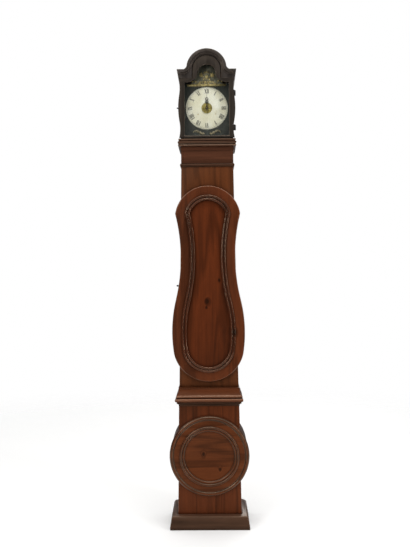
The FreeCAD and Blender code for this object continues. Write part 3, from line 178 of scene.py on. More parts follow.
roomSetup = {
    "cameraPlace": (0.03, -3.83, 1.2745),
    "cameraTurn": 0.70,
    "cameraRoll": -0.465,
    "lens": 48.9,
    "sensor": 36.0,
    "floorSize": 12.0,
    "floorRough": 0.6,
    "floorFade": (1.6, 4.6),
    "floorColour": (0.82, 0.815, 0.805, 1.0),
    "backdropColour": (1.0, 1.0, 1.0, 1.0),
    "skyColour": (0.90, 0.95, 1.0, 1.0),
    "skyStrength": 0.10,
    "lights": (
        ("ceilingLight", (0.0, 1.0, 6.5), (0.0, 1.0, 0.0), (16.0, 16.0), 1180.0),
        ("overLight", (0.0, -1.3, 4.4), (0.0, 0.0, 1.5), (2.2, 0.5), 45.0),
        ("keyLight", (-2.6, -3.8, 2.6), (0.0, 0.0, 1.3), (1.2, 1.8), 64.0),
        ("rightStrip", (2.6, -2.0, 1.5), (0.0, 0.0, 1.2), (0.3, 2.4), 32.0),
        ("backLight", (1.0, 4.2, 2.6), (0.0, 0.0, 1.3), (2.0, 2.0), 30.0),
    ),
}


def makeCamera():
    room = roomSetup
    bpy.ops.object.camera_add(location=room["cameraPlace"],
                              rotation=(math.radians(90.0), 0.0, math.radians(room["cameraTurn"])))
    camera = bpy.context.object
    camera.rotation_euler.rotate_axis("Z", math.radians(room["cameraRoll"]))
    camera.data.lens = room["lens"]
    camera.data.sensor_width = room["sensor"]
    bpy.context.scene.camera = camera


def makeLights():
    for name, place, aim, size, power in roomSetup["lights"]:
        bpy.ops.object.light_add(type="AREA", location=place)
        light = bpy.context.object
        light.name = name
        light.data.shape = "RECTANGLE"
        light.data.size, light.data.size_y = size
        light.data.energy = power
        light.rotation_euler = (Vector(aim) - Vector(place)).to_track_quat("-Z", "Y").to_euler()


# The camera sees plain white, and a dim sky lights the clock
def makeWorld():
    room = roomSetup
    world = bpy.data.worlds.new("paleRoom")
    world.use_nodes = True
    tree = world.node_tree
    sky = tree.nodes["Background"]
    sky.inputs["Color"].default_value = room["skyColour"]
    sky.inputs["Strength"].default_value = room["skyStrength"]
    backdrop = addNode(tree, "ShaderNodeBackground")
    backdrop.inputs["Color"].default_value = room["backdropColour"]
    seen = addNode(tree, "ShaderNodeLightPath")
    blend = addNode(tree, "ShaderNodeMixShader")
    tree.links.new(seen.outputs["Is Camera Ray"], blend.inputs["Fac"])
    tree.links.new(sky.outputs["Background"], blend.inputs[1])
    tree.links.new(backdrop.outputs["Background"], blend.inputs[2])
    tree.links.new(blend.outputs["Shader"], tree.nodes["World Output"].inputs["Surface"])
    bpy.context.scene.world = world


# The floor fades out before its edge
def makeFloor():
    room = roomSetup
    bpy.ops.mesh.primitive_plane_add(size=room["floorSize"])
    floor = bpy.context.object
    floor.name = "floor"
    paint, tree, shader = newMaterial("paleFloor", Base_Color=room["floorColour"], Roughness=room["floorRough"])
    away = addNode(tree, "ShaderNodeVectorMath", operation="LENGTH")
    tree.links.new(objectPoints(tree), away.inputs[0])
    fade = rangeNode(tree, away.outputs["Value"], *room["floorFade"], 1.0, 0.0)
    fade.node.interpolation_type = "SMOOTHSTEP"
    tree.links.new(fade, shader.inputs["Alpha"])
    floor.data.materials.append(paint)


bpy.context.scene.view_settings.view_transform = "Standard"
makeCamera()
makeLights()
makeWorld()
makeFloor()
print("room ready")


# Shared effects: wood grain along Z, and tarnish for metal, paint and enamel

# Each layer of grain has a stretch, and the detail and roughness of its noise
grainSetup = {
    "rings": 7.0, "poreEdge": (0.60, 0.72),
    "wide": ((9.0, 9.0, 0.8), 3.0, 0.42), "streak": ((130.0, 130.0, 3.0), 4.0, 0.6),
    "pore": ((700.0, 700.0, 24.0), 2.0, 0.5), "patch": ((3.4, 3.4, 1.6), 4.0, 0.6),
}


def makeGrain():
    look = grainSetup
    group, start, end = newGroup(
        "woodGrain",
        (("Vector", "NodeSocketVector", None), ("Rings", "NodeSocketFloat", look["rings"]),
         ("Knot", "NodeSocketFloat", 0.0)),
        (("Figure", "NodeSocketFloat"), ("Streak", "NodeSocketFloat"), ("Pore", "NodeSocketFloat"),
         ("Patch", "NodeSocketFloat")))

    def layer(name):
        stretch, detail, roughness = look[name]
        return noiseNode(group, stretched(group, start.outputs["Vector"], stretch), 1.0, detail, roughness)

    phase = mathNode(group, "MULTIPLY", layer("wide"), start.outputs["Rings"])
    phase = mathNode(group, "ADD", phase, start.outputs["Knot"])
    wave = mathNode(group, "SINE", mathNode(group, "MULTIPLY", phase, 2.0 * math.pi))
    figure = mathNode(group, "ADD", mathNode(group, "MULTIPLY", wave, 0.5), 0.5)
    pore = rangeNode(group, layer("pore"), *look["poreEdge"], 0.0, 1.0)
    made = {"Figure": figure, "Streak": layer("streak"), "Pore": pore, "Patch": layer("patch")}
    for name, value in made.items():
        group.links.new(value, end.inputs[name])
    return group


# Each layer of tarnish has a share of the size, and the detail and roughness of its noise
tarnishSetup = {
    "size": 40.0, "blotch": (1.0, 5.0, 0.6), "speck": (9.0, 2.0, 0.5), "scratch": (6.0, 3.0, 0.7),
    "speckEdge": (0.62, 0.70), "scratchStretch": (1.0, 1.0, 0.06), "scratchTurn": (20.0, 35.0, 0.0),
}


def makeTarnish():
    look = tarnishSetup
    group, start, end = newGroup(
        "tarnish",
        (("Vector", "NodeSocketVector", None), ("Size", "NodeSocketFloat", look["size"])),
        (("Blotch", "NodeSocketFloat"), ("Speck", "NodeSocketFloat"), ("Scratch", "NodeSocketFloat")))
    vector = start.outputs["Vector"]

    def layer(name, points):
        factor, detail, roughness = look[name]
        noise = noiseNode(group, points, 1.0, detail, roughness)
        group.links.new(mathNode(group, "MULTIPLY", start.outputs["Size"], factor), noise.node.inputs["Scale"])
        return noise

    blotch = layer("blotch", vector)
    speck = rangeNode(group, layer("speck", vector), *look["speckEdge"], 0.0, 1.0)
    slanted = stretched(group, vector, look["scratchStretch"], turn=look["scratchTurn"])
    for name, value in (("Blotch", blotch), ("Speck", speck), ("Scratch", layer("scratch", slanted))):
        group.links.new(value, end.inputs[name])
    return group


grain = makeGrain()
tarnish = makeTarnish()


# Waxed woods: a tone for each board, its own cut of grain, and the gloss of its wax

waxTint = (1.0, 0.74, 0.52, 1.0)
woodLooks = {
    "trunkWood": {"tone": (0.086, 0.024, 0.007), "place": (0.31, 0.0, 0.4), "rings": 5.0, "rough": 0.4,
                  "gloss": 0.16},
    "neckWood": {"tone": (0.064, 0.022, 0.011), "place": (1.31, 0.4, 1.4), "turn": (0.0, 90.0, 0.0),
                 "rings": 5.0, "rough": 0.42, "gloss": 0.14},
    "doorFrameWood": {"tone": (0.086, 0.02, 0.006), "place": (1.7, 0.3, 0.9), "rings": 6.0, "rough": 0.36,
                      "gloss": 0.2, "mottle": 0.75, "knots": ((0.13, 0.978, 0.012),)},
    "doorPanelWood": {"tone": (0.084, 0.0172, 0.0044), "place": (2.6, 0.2, 2.3), "rings": 4.0, "rough": 0.4,
                      "gloss": 0.14, "mottle": 0.85,
                      "knots": ((-0.006, 1.134, 0.011), (0.122, 0.98, 0.01), (0.055, 1.24, 0.006),
                                (-0.01, 1.104, 0.005))},
    "beadWood": {"tone": (0.052, 0.012, 0.004), "place": (0.7, 1.1, 0.2), "rings": 5.0, "rough": 0.16,
                 "gloss": 0.65, "knots": ((0.13, 0.978, 0.012),)},
    "baseWood": {"tone": (0.086, 0.02, 0.006), "place": (3.3, 0.9, 1.8), "rings": 5.5, "rough": 0.4,
                 "gloss": 0.14},
    # The drum's rubbed rings take a darker tone than its field, not a lighter one
    "drumWood": {"tone": (0.088, 0.023, 0.007), "place": (5.1, 0.4, 0.6), "turn": (0.0, 90.0, 0.0),
                 "rings": 4.0, "rough": 0.4, "gloss": 0.14, "wornAndLit": 0.45,
                 "knots": ((-0.03, 0.372, 0.007), (0.052, 0.296, 0.006))},
    "drumSideWood": {"tone": (0.05, 0.024, 0.016), "place": (9.1, 1.4, 0.6), "turn": (90.0, 0.0, 0.0),
                     "rings": 5.0, "rough": 0.34, "gloss": 0.3},
    "waistWood": {"tone": (0.08, 0.021, 0.007), "place": (0.4, 2.2, 0.7), "turn": (0.0, 90.0, 0.0),
                  "rings": 5.0, "rough": 0.34, "gloss": 0.14},
    "plinthWood": {"tone": (0.06, 0.029, 0.017), "place": (1.4, 3.1, 0.2), "turn": (0.0, 90.0, 0.0),
                   "rings": 5.0, "rough": 0.5, "gloss": 0.14},
    "hoodWood": {"tone": (0.04, 0.034, 0.031), "place": (2.2, 0.6, 3.3), "rings": 5.0, "rough": 0.36,
                 "gloss": 0.2},
    "friezeWood": {"tone": (0.042, 0.016, 0.008), "place": (4.2, 1.6, 0.3), "turn": (0.0, 90.0, 0.0),
                   "rings": 5.0, "rough": 0.38, "gloss": 0.18},
    "hoodSideWood": {"tone": (0.03, 0.022, 0.014), "place": (7.2, 0.9, 2.1), "rings": 5.0, "rough": 0.4,
                     "gloss": 0.16},
    "hoodDoorWood": {"tone": (0.023, 0.019, 0.016), "place": (8.4, 0.2, 1.1), "rings": 6.0, "rough": 0.36,
                     "gloss": 0.2},
    "innerWood": {"tone": (0.23, 0.13, 0.062), "place": (6.2, 0.6, 1.3), "rings": 7.0, "rough": 0.65,
                  "gloss": 0.2},
}

# What all woods share: brightness of the grain, stains, pores, knots and painted shade in corners beside the
# tone
woodSetup = {
    "figure": ((0.0, 1.05), (0.55, 1.22), (0.86, 1.0), (1.0, 0.72)),
    "streak": ((0.30, 0.58), (0.50, 0.95), (0.72, 1.0)), "streakShare": 0.7,
    "stain": ((0.34, 0.55), (0.52, 1.0), (0.75, 1.12)), "mottle": 0.55,
    "poreShare": 0.5, "poreTone": 0.35,
    "knotSqueeze": 0.7, "knotSpread": 3.2, "knotFall": 2.2, "knotSwirl": 1.2,
    "knotCore": (0.25, 0.60, 0.0, 0.92), "knotTone": 0.15,
    "cornerSamples": 6, "cornerReach": 0.02, "cornerShadeRange": (0.35, 0.85, 0.75, 0.0), "cornerShadeTone": 0.2,
    "roughEdge": (0.3, 0.7), "roughSpread": 0.12, "streakHeight": 0.5, "bump": (0.25, 0.0006),
    "wornAndLit": 1.2, "wornRough": 0.24, "wornGloss": 0.75,
}


def knotMask(tree, points, knots):
    squeeze = woodSetup["knotSqueeze"]
    mask = None
    for x, z, radius in knots:
        flat = stretched(tree, points, (1.0, 0.0, squeeze))
        away = addNode(tree, "ShaderNodeVectorMath", operation="DISTANCE")
        tree.links.new(flat, away.inputs[0])
        away.inputs[1].default_value = (x, 0.0, squeeze * z)
        near = rangeNode(tree, away.outputs["Value"], 0.0, woodSetup["knotSpread"] * radius, 1.0, 0.0)
        near = mathNode(tree, "POWER", near, woodSetup["knotFall"], clamp=True)
        mask = near if mask is None else mathNode(tree, "MAXIMUM", mask, near)
    return mask


def toned(tone, factor):
    return tuple(factor * part for part in tone)


def greyStops(stops):
    return [(place, grey(value)) for place, value in stops]


def makeWood(name, look):
    shared = woodSetup
    material, tree, shader = newMaterial(name, Specular_IOR_Level=look["gloss"], Specular_Tint=waxTint)
    tone = look["tone"]
    points = objectPoints(tree)
    board = stretched(tree, points, (1.0, 1.0, 1.0), look["place"], look.get("turn", (0.0, 0.0, 0.0)))
    knots = knotMask(tree, points, look["knots"]) if "knots" in look else None
    swirl = mathNode(tree, "MULTIPLY", knots, shared["knotSwirl"]) if knots else 0.0
    cut = placeGroup(tree, grain, board, Rings=look["rings"], Knot=swirl)
    figure = [(place, toned(tone, factor)) for place, factor in shared["figure"]]
    colour = rampNode(tree, cut.outputs["Figure"], figure)
    lines = rampNode(tree, cut.outputs["Streak"], greyStops(shared["streak"]))
    colour = mixNode(tree, shared["streakShare"], colour, lines, "MULTIPLY")
    stain = rampNode(tree, cut.outputs["Patch"], greyStops(shared["stain"]))
    colour = mixNode(tree, look.get("mottle", shared["mottle"]), colour, stain, "MULTIPLY")
    pores = mathNode(tree, "MULTIPLY", cut.outputs["Pore"], shared["poreShare"])
    colour = mixNode(tree, pores, colour, toned(tone, shared["poreTone"]))
    if knots:
        core = rangeNode(tree, knots, *shared["knotCore"])
        colour = mixNode(tree, core, colour, toned(tone, shared["knotTone"]))
    # Ambient occlusion darkens corners and grooves towards a dark tone: painted shade
    corner = addNode(tree, "ShaderNodeAmbientOcclusion", samples=shared["cornerSamples"])
    corner.inputs["Distance"].default_value = shared["cornerReach"]
    paintedShade = rangeNode(tree, corner.outputs["AO"], *shared["cornerShadeRange"])
    colour = mixNode(tree, paintedShade, colour, toned(tone, shared["cornerShadeTone"]))
    tree.links.new(colour, shader.inputs["Base Color"])
    rough = rangeNode(tree, cut.outputs["Patch"], *shared["roughEdge"],
                      look["rough"] + shared["roughSpread"], look["rough"])
    tree.links.new(rough, shader.inputs["Roughness"])
    raised = mathNode(tree, "MULTIPLY", cut.outputs["Streak"], shared["streakHeight"])
    height = mathNode(tree, "SUBTRACT", raised, pores)
    tree.links.new(bumpNode(tree, height, *shared["bump"]), shader.inputs["Normal"])
    return material


# The same wood where hands and cloths have rubbed it, glossier and with its tone scaled, the lighter tone
# partly wear and partly a painted highlight
def rubbedAndLit(look):
    wornAndLit = {**look, "tone": toned(look["tone"], look.get("wornAndLit", woodSetup["wornAndLit"])),
            "rough": woodSetup["wornRough"], "gloss": woodSetup["wornGloss"]}
    wornAndLit.pop("knots", None)
    return wornAndLit


materials = {}
for name, look in woodLooks.items():
    materials[name] = makeWood(name, look)
    materials[name + "Edge"] = makeWood(name + "Edge", rubbedAndLit(look))


# Metals, paint, enamel, glass and rope

metalLooks = {
    "forgedIron": {"base": (0.060, 0.055, 0.052), "dark": (0.022, 0.018, 0.016), "metal": 0.85, "rough": 0.48,
                   "size": 60.0, "bump": 0.35},
    "castIron": {"base": (0.075, 0.070, 0.066), "dark": (0.035, 0.022, 0.016), "metal": 0.7, "rough": 0.62,
                 "size": 45.0, "bump": 0.55},
    "agedBrass": {"base": (0.56, 0.40, 0.16), "dark": (0.22, 0.15, 0.06), "metal": 1.0, "rough": 0.30,
                  "size": 35.0, "bump": 0.12},
    "dialBrass": {"base": (0.46, 0.38, 0.12), "dark": (0.20, 0.16, 0.05), "metal": 0.9, "rough": 0.38,
                  "size": 70.0, "bump": 0.2},
    "gilt": {"base": (0.62, 0.50, 0.20), "dark": (0.20, 0.15, 0.06), "metal": 0.9, "rough": 0.34,
             "size": 90.0, "bump": 0.25},
    "dullGilt": {"base": (0.235, 0.225, 0.155), "dark": (0.110, 0.112, 0.080), "metal": 0.6, "rough": 0.55,
                 "size": 60.0, "bump": 0.2},
    "sprayGilt": {"base": (0.34, 0.29, 0.17), "dark": (0.16, 0.135, 0.08), "metal": 0.5, "rough": 0.5,
                  "size": 90.0, "bump": 0.2},
    "bluedSteel": {"base": (0.050, 0.050, 0.056), "dark": (0.020, 0.018, 0.018), "metal": 0.9, "rough": 0.34,
                   "size": 90.0, "bump": 0.1},
    "brightSteel": {"base": (0.50, 0.50, 0.49), "dark": (0.22, 0.20, 0.18), "metal": 1.0, "rough": 0.30,
                    "size": 60.0, "bump": 0.1},
    "bellMetal": {"base": (0.50, 0.38, 0.19), "dark": (0.20, 0.14, 0.07), "metal": 1.0, "rough": 0.28,
                  "size": 30.0, "bump": 0.1},
    "greenPaint": {"base": (0.030, 0.034, 0.024), "dark": (0.014, 0.016, 0.012), "metal": 0.0, "rough": 0.50,
                   "size": 30.0, "bump": 0.15},
    "numeralPaint": {"base": (0.028, 0.024, 0.020), "dark": (0.012, 0.010, 0.008), "metal": 0.0, "rough": 0.42,
                     "size": 150.0, "bump": 0.1},
    "enamel": {"base": (0.79, 0.78, 0.65), "dark": (0.66, 0.62, 0.42), "metal": 0.0, "rough": 0.16,
               "size": 9.0, "bump": 0.02},
}

# What all metals and paints share
metalSetup = {"spread": ((0.38, 0.0), (0.66, 1.0)), "speckShare": 0.5, "scratchEdge": (0.3, 0.7),
              "roughSpread": 0.16, "bumpDepth": 0.0008}


def makeMetal(name, look):
    shared = metalSetup
    material, tree, shader = newMaterial(name, Metallic=look["metal"])
    coat = placeGroup(tree, tarnish, objectPoints(tree), Size=look["size"])
    spread = rampNode(tree, coat.outputs["Blotch"], greyStops(shared["spread"]))
    colour = mixNode(tree, spread, look["base"], look["dark"])
    specks = mathNode(tree, "MULTIPLY", coat.outputs["Speck"], shared["speckShare"])
    colour = mixNode(tree, specks, colour, look["dark"])
    tree.links.new(colour, shader.inputs["Base Color"])
    rough = rangeNode(tree, coat.outputs["Scratch"], *shared["scratchEdge"],
                      look["rough"], look["rough"] + shared["roughSpread"])
    tree.links.new(rough, shader.inputs["Roughness"])
    dents = bumpNode(tree, coat.outputs["Blotch"], look["bump"], shared["bumpDepth"])
    tree.links.new(dents, shader.inputs["Normal"])
    return material


glassLook = {"Base_Color": (0.95, 0.97, 0.95, 1.0), "Roughness": 0.03, "IOR": 1.46, "Transmission_Weight": 1.0,
             "Alpha": 0.2}
glassRipple = {"stretch": (7.0, 7.0, 3.0), "detail": 2.0, "bump": (0.05, 0.002)}


def makeGlass():
    material, tree, shader = newMaterial("oldGlass", **glassLook)
    points = stretched(tree, objectPoints(tree), glassRipple["stretch"])
    ripple = noiseNode(tree, points, 1.0, glassRipple["detail"])
    tree.links.new(bumpNode(tree, ripple, *glassRipple["bump"]), shader.inputs["Normal"])
    return material


fibreLook = {"rough": 0.85, "stretch": (900.0, 900.0, 240.0), "bump": (0.5, 0.0006),
             "colours": ((0.3, (0.20, 0.145, 0.080)), (0.6, (0.42, 0.33, 0.20)), (0.8, (0.52, 0.43, 0.28)))}


def makeRopeFibre():
    material, tree, shader = newMaterial("hempFibre", Roughness=fibreLook["rough"])
    fibre = noiseNode(tree, stretched(tree, objectPoints(tree), fibreLook["stretch"]), 1.0)
    tree.links.new(rampNode(tree, fibre, fibreLook["colours"]), shader.inputs["Base Color"])
    tree.links.new(bumpNode(tree, fibre, *fibreLook["bump"]), shader.inputs["Normal"])
    return material


materials.update({name: makeMetal(name, look) for name, look in metalLooks.items()})
materials["oldGlass"] = makeGlass()
materials["hempFibre"] = makeRopeFibre()
print("materials ready:", len(materials))


# Helpers for modelling by hand

def selectOnly(piece):
    if bpy.context.object and bpy.context.object.mode != "OBJECT":
        bpy.ops.object.mode_set(mode="OBJECT")
    bpy.ops.object.select_all(action="DESELECT")
    piece.select_set(True)
    bpy.context.view_layer.objects.active = piece


def editAll(piece):
    selectOnly(piece)
    bpy.ops.object.mode_set(mode="EDIT")
    bpy.ops.mesh.select_all(action="SELECT")


def applyModifier(piece, kind, **settings):
    selectOnly(piece)
    change = piece.modifiers.new(kind.lower(), kind)
    for key, value in settings.items():
        setattr(change, key, value)
    bpy.ops.object.modifier_apply(modifier=change.name)


# Angle up to which small rounded pieces are smooth
smoothTo = 60.0


def smoothed(piece, angle=40.0):
    selectOnly(piece)
    bpy.ops.object.shade_smooth_by_angle(angle=math.radians(angle))


def settled(piece):
    selectOnly(piece)
    bpy.ops.object.transform_apply(location=True, rotation=True, scale=True)


def joinedPieces(pieces, name):
    selectOnly(pieces[0])
    for piece in pieces:
        piece.select_set(True)
    bpy.ops.object.join()
    pieces[0].name = name
    return pieces[0]


def fitted(piece, body, slot, *finishes):
    piece.data.materials.clear()
    for finish in finishes:
        piece.data.materials.append(materials[finish])
    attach(piece, body)


copySetup = {"weld": 0.00001, "flat": math.radians(0.5), "bevelFrom": math.radians(32.0)}


# A copy of a node's mesh with its flat faces whole again, cut at a height where one is given
def copiedNode(node, name, cutHeight=None):
    piece = bpy.data.objects.new(name, nodes[node].data.copy())
    bpy.context.scene.collection.objects.link(piece)
    editAll(piece)
    bpy.ops.mesh.remove_doubles(threshold=copySetup["weld"])
    bpy.ops.mesh.dissolve_limited(angle_limit=copySetup["flat"])
    if cutHeight is not None:
        bpy.ops.mesh.select_all(action="SELECT")
        bpy.ops.mesh.bisect(plane_co=(0.0, 0.0, cutHeight), plane_no=(0.0, 0.0, 1.0))
    bpy.ops.object.mode_set(mode="OBJECT")
    return piece


def softened(piece, width, **settings):
    applyModifier(piece, "BEVEL", width=width, segments=2, limit_method="ANGLE",
                  angle_limit=copySetup["bevelFrom"], **settings)


# Boards and mouldings: the frame's own shapes with a finish and softened edges of a width, in the rubbed finish
# that is partly wear and partly a painted highlight

boardLooks = {
    "plinth": ("plinthWood", 0.0025), "base_front": ("baseWood", 0.0015),
    "base_left_side": ("baseWood", 0.0015), "base_right_side": ("baseWood", 0.0015),
    "drum_disc": ("drumWood", 0.0016), "drum_cheeks": ("drumSideWood", 0.0016),
    "waist_moulding": ("waistWood", 0.0012), "trunk_front": ("trunkWood", 0.0015),
    "trunk_left_side": ("trunkWood", 0.0015), "trunk_right_side": ("trunkWood", 0.0015),
    "trunk_collar": ("friezeWood", 0.0015), "back_board": ("innerWood", 0.001),
    "movement_seat": ("innerWood", 0.001), "trunk_door": ("doorFrameWood", 0.0012),
    "trunk_door_panel": ("doorPanelWood", 0.0), "trunk_door_moulding": ("beadWood", 0.0006),
    "hood_left_side": ("hoodSideWood", 0.0012), "hood_right_side": ("hoodSideWood", 0.0012),
    "hood_frieze": ("neckWood", 0.0), "hood_cornice": ("hoodWood", 0.0012), "hood_roof": ("hoodWood", 0.001),
    "hood_back": ("innerWood", 0.001), "hood_door": ("hoodDoorWood", 0.0014),
}

# Boards whose curved faces take the rubbed finish, lighter partly as wear and partly as a painted highlight,
# told by how far they lean from the front
roundedBoards = ("trunk_door", "drum_disc", "hood_door", "hood_cornice")
curvedFrom, curvedTo = 0.15, 0.97

# Heights between which a moulding takes the rubbed finish as a painted highlight, save on faces that look down
lowestHighlightNormal = -0.3
highlightBands = {"waist_moulding": (0.631, 0.664), "plinth": (0.0625, 0.0705)}

# Heights between which a board has another finish, and where it is cut for that
neckTop = 1.913
# On the waist moulding the darker frieze finish paints shade under the torus and in the groove above it
otherBands = {"waist_moulding": ("friezeWood", ((0.600, 0.6315), (0.6480, 0.6535))),
              "hood_left_side": ("neckWood", ((1.700, neckTop),)),
              "hood_right_side": ("neckWood", ((1.700, neckTop),))}
cutHeights = {"hood_left_side": neckTop, "hood_right_side": neckTop}


def dressBoard(node, finish, edge):
    piece = copiedNode(node, node + ".board", cutHeights.get(node))
    other, bands = otherBands.get(node, (finish, ()))
    fitted(piece, bodyOf[node], slotOf[node], finish, finish + "Edge", other)
    for face in piece.data.polygons:
        face.material_index = 0
    if edge:
        softened(piece, edge, material=1)
    low, high = highlightBands.get(node, (0.0, 0.0))
    for face in piece.data.polygons:
        curved = node in roundedBoards and curvedFrom < abs(face.normal.y) < curvedTo
        if curved or (low < face.center.z < high and face.normal.z > lowestHighlightNormal):
            face.material_index = 1
        if any(start < face.center.z < end for start, end in bands):
            face.material_index = 2
    smoothed(piece)
    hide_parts(node)


for node, (finish, edge) in boardLooks.items():
    dressBoard(node, finish, edge)
print("boards dressed:", len(boardLooks))


# Working parts keep the frame's shape and get their finish

partLooks = {
    "forgedIron": ("trunk_hinge_pins", "trunk_hinge_eyes", "trunk_door_pull", "hood_hinge_pins",
                   "hood_hinge_eyes", "hood_door_knob", "movement_cage", "train_bars", "suspension_cock",
                   "bell_stand", "hammer"),
    "agedBrass": ("going_great_wheel", "centre_wheel", "third_wheel", "escape_wheel", "reverse_wheel",
                  "strike_great_wheel", "pin_wheel", "strike_fly", "pendulum_bob", "going_barrel",
                  "strike_barrel"),
    "brightSteel": ("anchor", "pendulum_rod"),
    "bluedSteel": ("hour_hand", "minute_hand"),
    "castIron": ("going_weight", "strike_weight"),
    "bellMetal": ("bell",),
    "greenPaint": ("dial_plate",),
    "enamel": ("dial_disc",),
    "dialBrass": ("centre_disc",),
    "oldGlass": ("hood_door_glass",),
}

for finish, held in partLooks.items():
    for node in held:
        nodes[node].data.materials.clear()
        nodes[node].data.materials.append(materials[finish])
print("working parts finished")


# Moulding under the hood door: a flat band, two beads and a plain foot, mitred round three sides

hoodMoulding = {
    "half": 0.1315, "front": -0.091, "back": 0.145, "bite": 0.004, "smoothTo": 30.0,
    "profile": ((0.0010, 1.8930), (0.0022, 1.9130), (0.0105, 1.9136), (0.0135, 1.9155), (0.0146, 1.9185),
                (0.0135, 1.9215), (0.0095, 1.9240), (0.0085, 1.9262), (0.0125, 1.9275), (0.0152, 1.9305),
                (0.0160, 1.9340), (0.0150, 1.9375), (0.0115, 1.9400), (0.0070, 1.9412), (0.0070, 1.9432),
                (0.0115, 1.9440), (0.0125, 1.9470), (0.0115, 1.9518), (0.0105, 1.9530)),
}


def makeHoodMoulding():
    look = hoodMoulding
    low, high = look["profile"][0][1], look["profile"][-1][1]
    profile = ((-look["bite"], low), *look["profile"], (-look["bite"], high))
    bpy.ops.mesh.primitive_circle_add(vertices=len(profile), radius=0.01, fill_type="NGON")
    piece = bpy.context.object
    piece.name = "hoodMoulding"

    def place(points, across, deep):
        for point, (out, z) in zip(points, profile):
            y = look["front"] - out if deep == "front" else look["back"]
            point.co = (across * (look["half"] + out), y, z)

    place(piece.data.vertices, -1.0, "back")
    for across, deep in ((-1.0, "front"), (1.0, "front"), (1.0, "back")):
        selectOnly(piece)
        bpy.ops.object.mode_set(mode="EDIT")
        bpy.ops.mesh.extrude_region_move()
        bpy.ops.object.mode_set(mode="OBJECT")
        place([point for point in piece.data.vertices if point.select], across, deep)
    editAll(piece)
    bpy.ops.mesh.normals_make_consistent(inside=False)
    bpy.ops.object.mode_set(mode="OBJECT")
    # The band and beads above the neck take the rubbed frieze finish, lighter partly as wear and partly as a
    # painted highlight
    fitted(piece, bodyOf["hood_base_moulding"], slotOf["hood_base_moulding"], "friezeWoodEdge", "neckWood")
    for face in piece.data.polygons:
        face.material_index = 1 if face.center.z < neckTop else 0
    smoothed(piece, look["smoothTo"])
    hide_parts("hood_base_moulding")


makeHoodMoulding()
print("hood moulding made")


# Dial: painted hours, a fine minute track and a raised brass rosette

dialSetup = {
    "centre": (0.0, 2.112), "plateFront": -0.061, "edge": 0.002, "dome": 0.005, "radius": 0.106,
    "hours": ("XII", "I", "II", "III", "IIII", "V", "VI", "VII", "VIII", "IX", "X", "XI"),
    "numeralFoot": 0.0755, "numeralHeight": 0.0205, "thick": 0.0033, "thin": 0.0012, "serif": 0.0011,
    "advance": {"I": 0.0058, "V": 0.0108, "X": 0.0110}, "serifReach": 0.0025,
    "strokes": {"I": ((0.5, 0.5, "thick"),), "V": ((0.5, 0.24, "thick"), (0.5, 0.80, "thin")),
                "X": ((0.80, 0.20, "thick"), (0.20, 0.80, "thin"))},
    "footSerifs": {"I": (0.5,), "V": (), "X": (0.20, 0.80)},
    "headSerifs": {"I": (0.5,), "V": (0.24, 0.80), "X": (0.20, 0.80)},
    "trackSteps": 144,
    "trackInner": 0.0990, "trackOuter": 0.1020, "trackLine": 0.0004, "minuteLine": 0.0005, "fiveLine": 0.0013,
    "paintDepth": 0.0005, "paintLift": 0.0001,
}


def domeFront(x, z):
    away = math.hypot(x - dialSetup["centre"][0], z - dialSetup["centre"][1]) / dialSetup["radius"]
    return dialSetup["plateFront"] - dialSetup["edge"] - dialSetup["dome"] * (1.0 - away * away)


def addBar(start, end, width):
    centre = ((start[0] + end[0]) / 2.0, 0.0, (start[1] + end[1]) / 2.0)
    lean = math.atan2(end[0] - start[0], end[1] - start[1])
    bpy.ops.mesh.primitive_plane_add(size=1.0, location=centre, rotation=(math.radians(90.0), lean, 0.0))
    bar = bpy.context.object
    bar.scale = (width, math.dist(start, end), 1.0)
    settled(bar)
    return bar


# Strokes of one letter: start, end and width, from its left foot
def letterStrokes(letter):
    look = dialSetup
    high = look["numeralHeight"]
    wide = look["advance"][letter]
    reach = look["serifReach"]
    strokes = [((foot * wide, 0.0), (head * wide, high), look[kind])
               for foot, head, kind in look["strokes"][letter]]
    for height, shares in ((0.0, look["footSerifs"][letter]), (high, look["headSerifs"][letter])):
        strokes += [((share * wide - reach, height), (share * wide + reach, height), look["serif"])
                    for share in shares]
    return strokes


def makeNumeral(hour, letters):
    look = dialSetup
    total = sum(look["advance"][letter] for letter in letters)
    left = -total / 2.0
    bars = []
    for letter in letters:
        for start, end, width in letterStrokes(letter):
            bars.append(addBar((left + start[0], look["numeralFoot"] + start[1]),
                               (left + end[0], look["numeralFoot"] + end[1]), width))
        left += look["advance"][letter]
    numeral = joinedPieces(bars, "numeral" + letters)
    numeral.rotation_euler = (0.0, math.radians(30.0 * hour), 0.0)
    settled(numeral)
    return numeral


def makeTrackLine(radius):
    look = dialSetup
    bpy.ops.mesh.primitive_circle_add(vertices=look["trackSteps"], radius=radius,
                                      rotation=(math.radians(90.0), 0.0, 0.0))
    ring = bpy.context.object
    settled(ring)
    editAll(ring)
    bpy.ops.mesh.extrude_region_move()
    grow = (radius + look["trackLine"]) / radius
    bpy.ops.transform.resize(value=(grow, grow, grow), center_override=(0.0, 0.0, 0.0))
    bpy.ops.object.mode_set(mode="OBJECT")
    return ring


def makeDialPaint():
    look = dialSetup
    pieces = [makeNumeral(hour, letters) for hour, letters in enumerate(look["hours"])]
    for minute in range(60):
        width = look["minuteLine"] if minute % 5 else look["fiveLine"]
        tick = addBar((0.0, look["trackInner"]), (0.0, look["trackOuter"]), width)
        tick.rotation_euler = (0.0, math.radians(6.0 * minute), 0.0)
        settled(tick)
        pieces.append(tick)
    pieces += [makeTrackLine(look["trackInner"]), makeTrackLine(look["trackOuter"])]
    paint = joinedPieces(pieces, "dialPaint")
    for point in paint.data.vertices:
        point.co.x += look["centre"][0]
        point.co.z += look["centre"][1]
        point.co.y = domeFront(point.co.x, point.co.z) - look["paintLift"]
    applyModifier(paint, "SOLIDIFY", thickness=look["paintDepth"], offset=0.0)
    fitted(paint, bodyOf["dial_disc"], slotOf["dial_disc"], "numeralPaint")


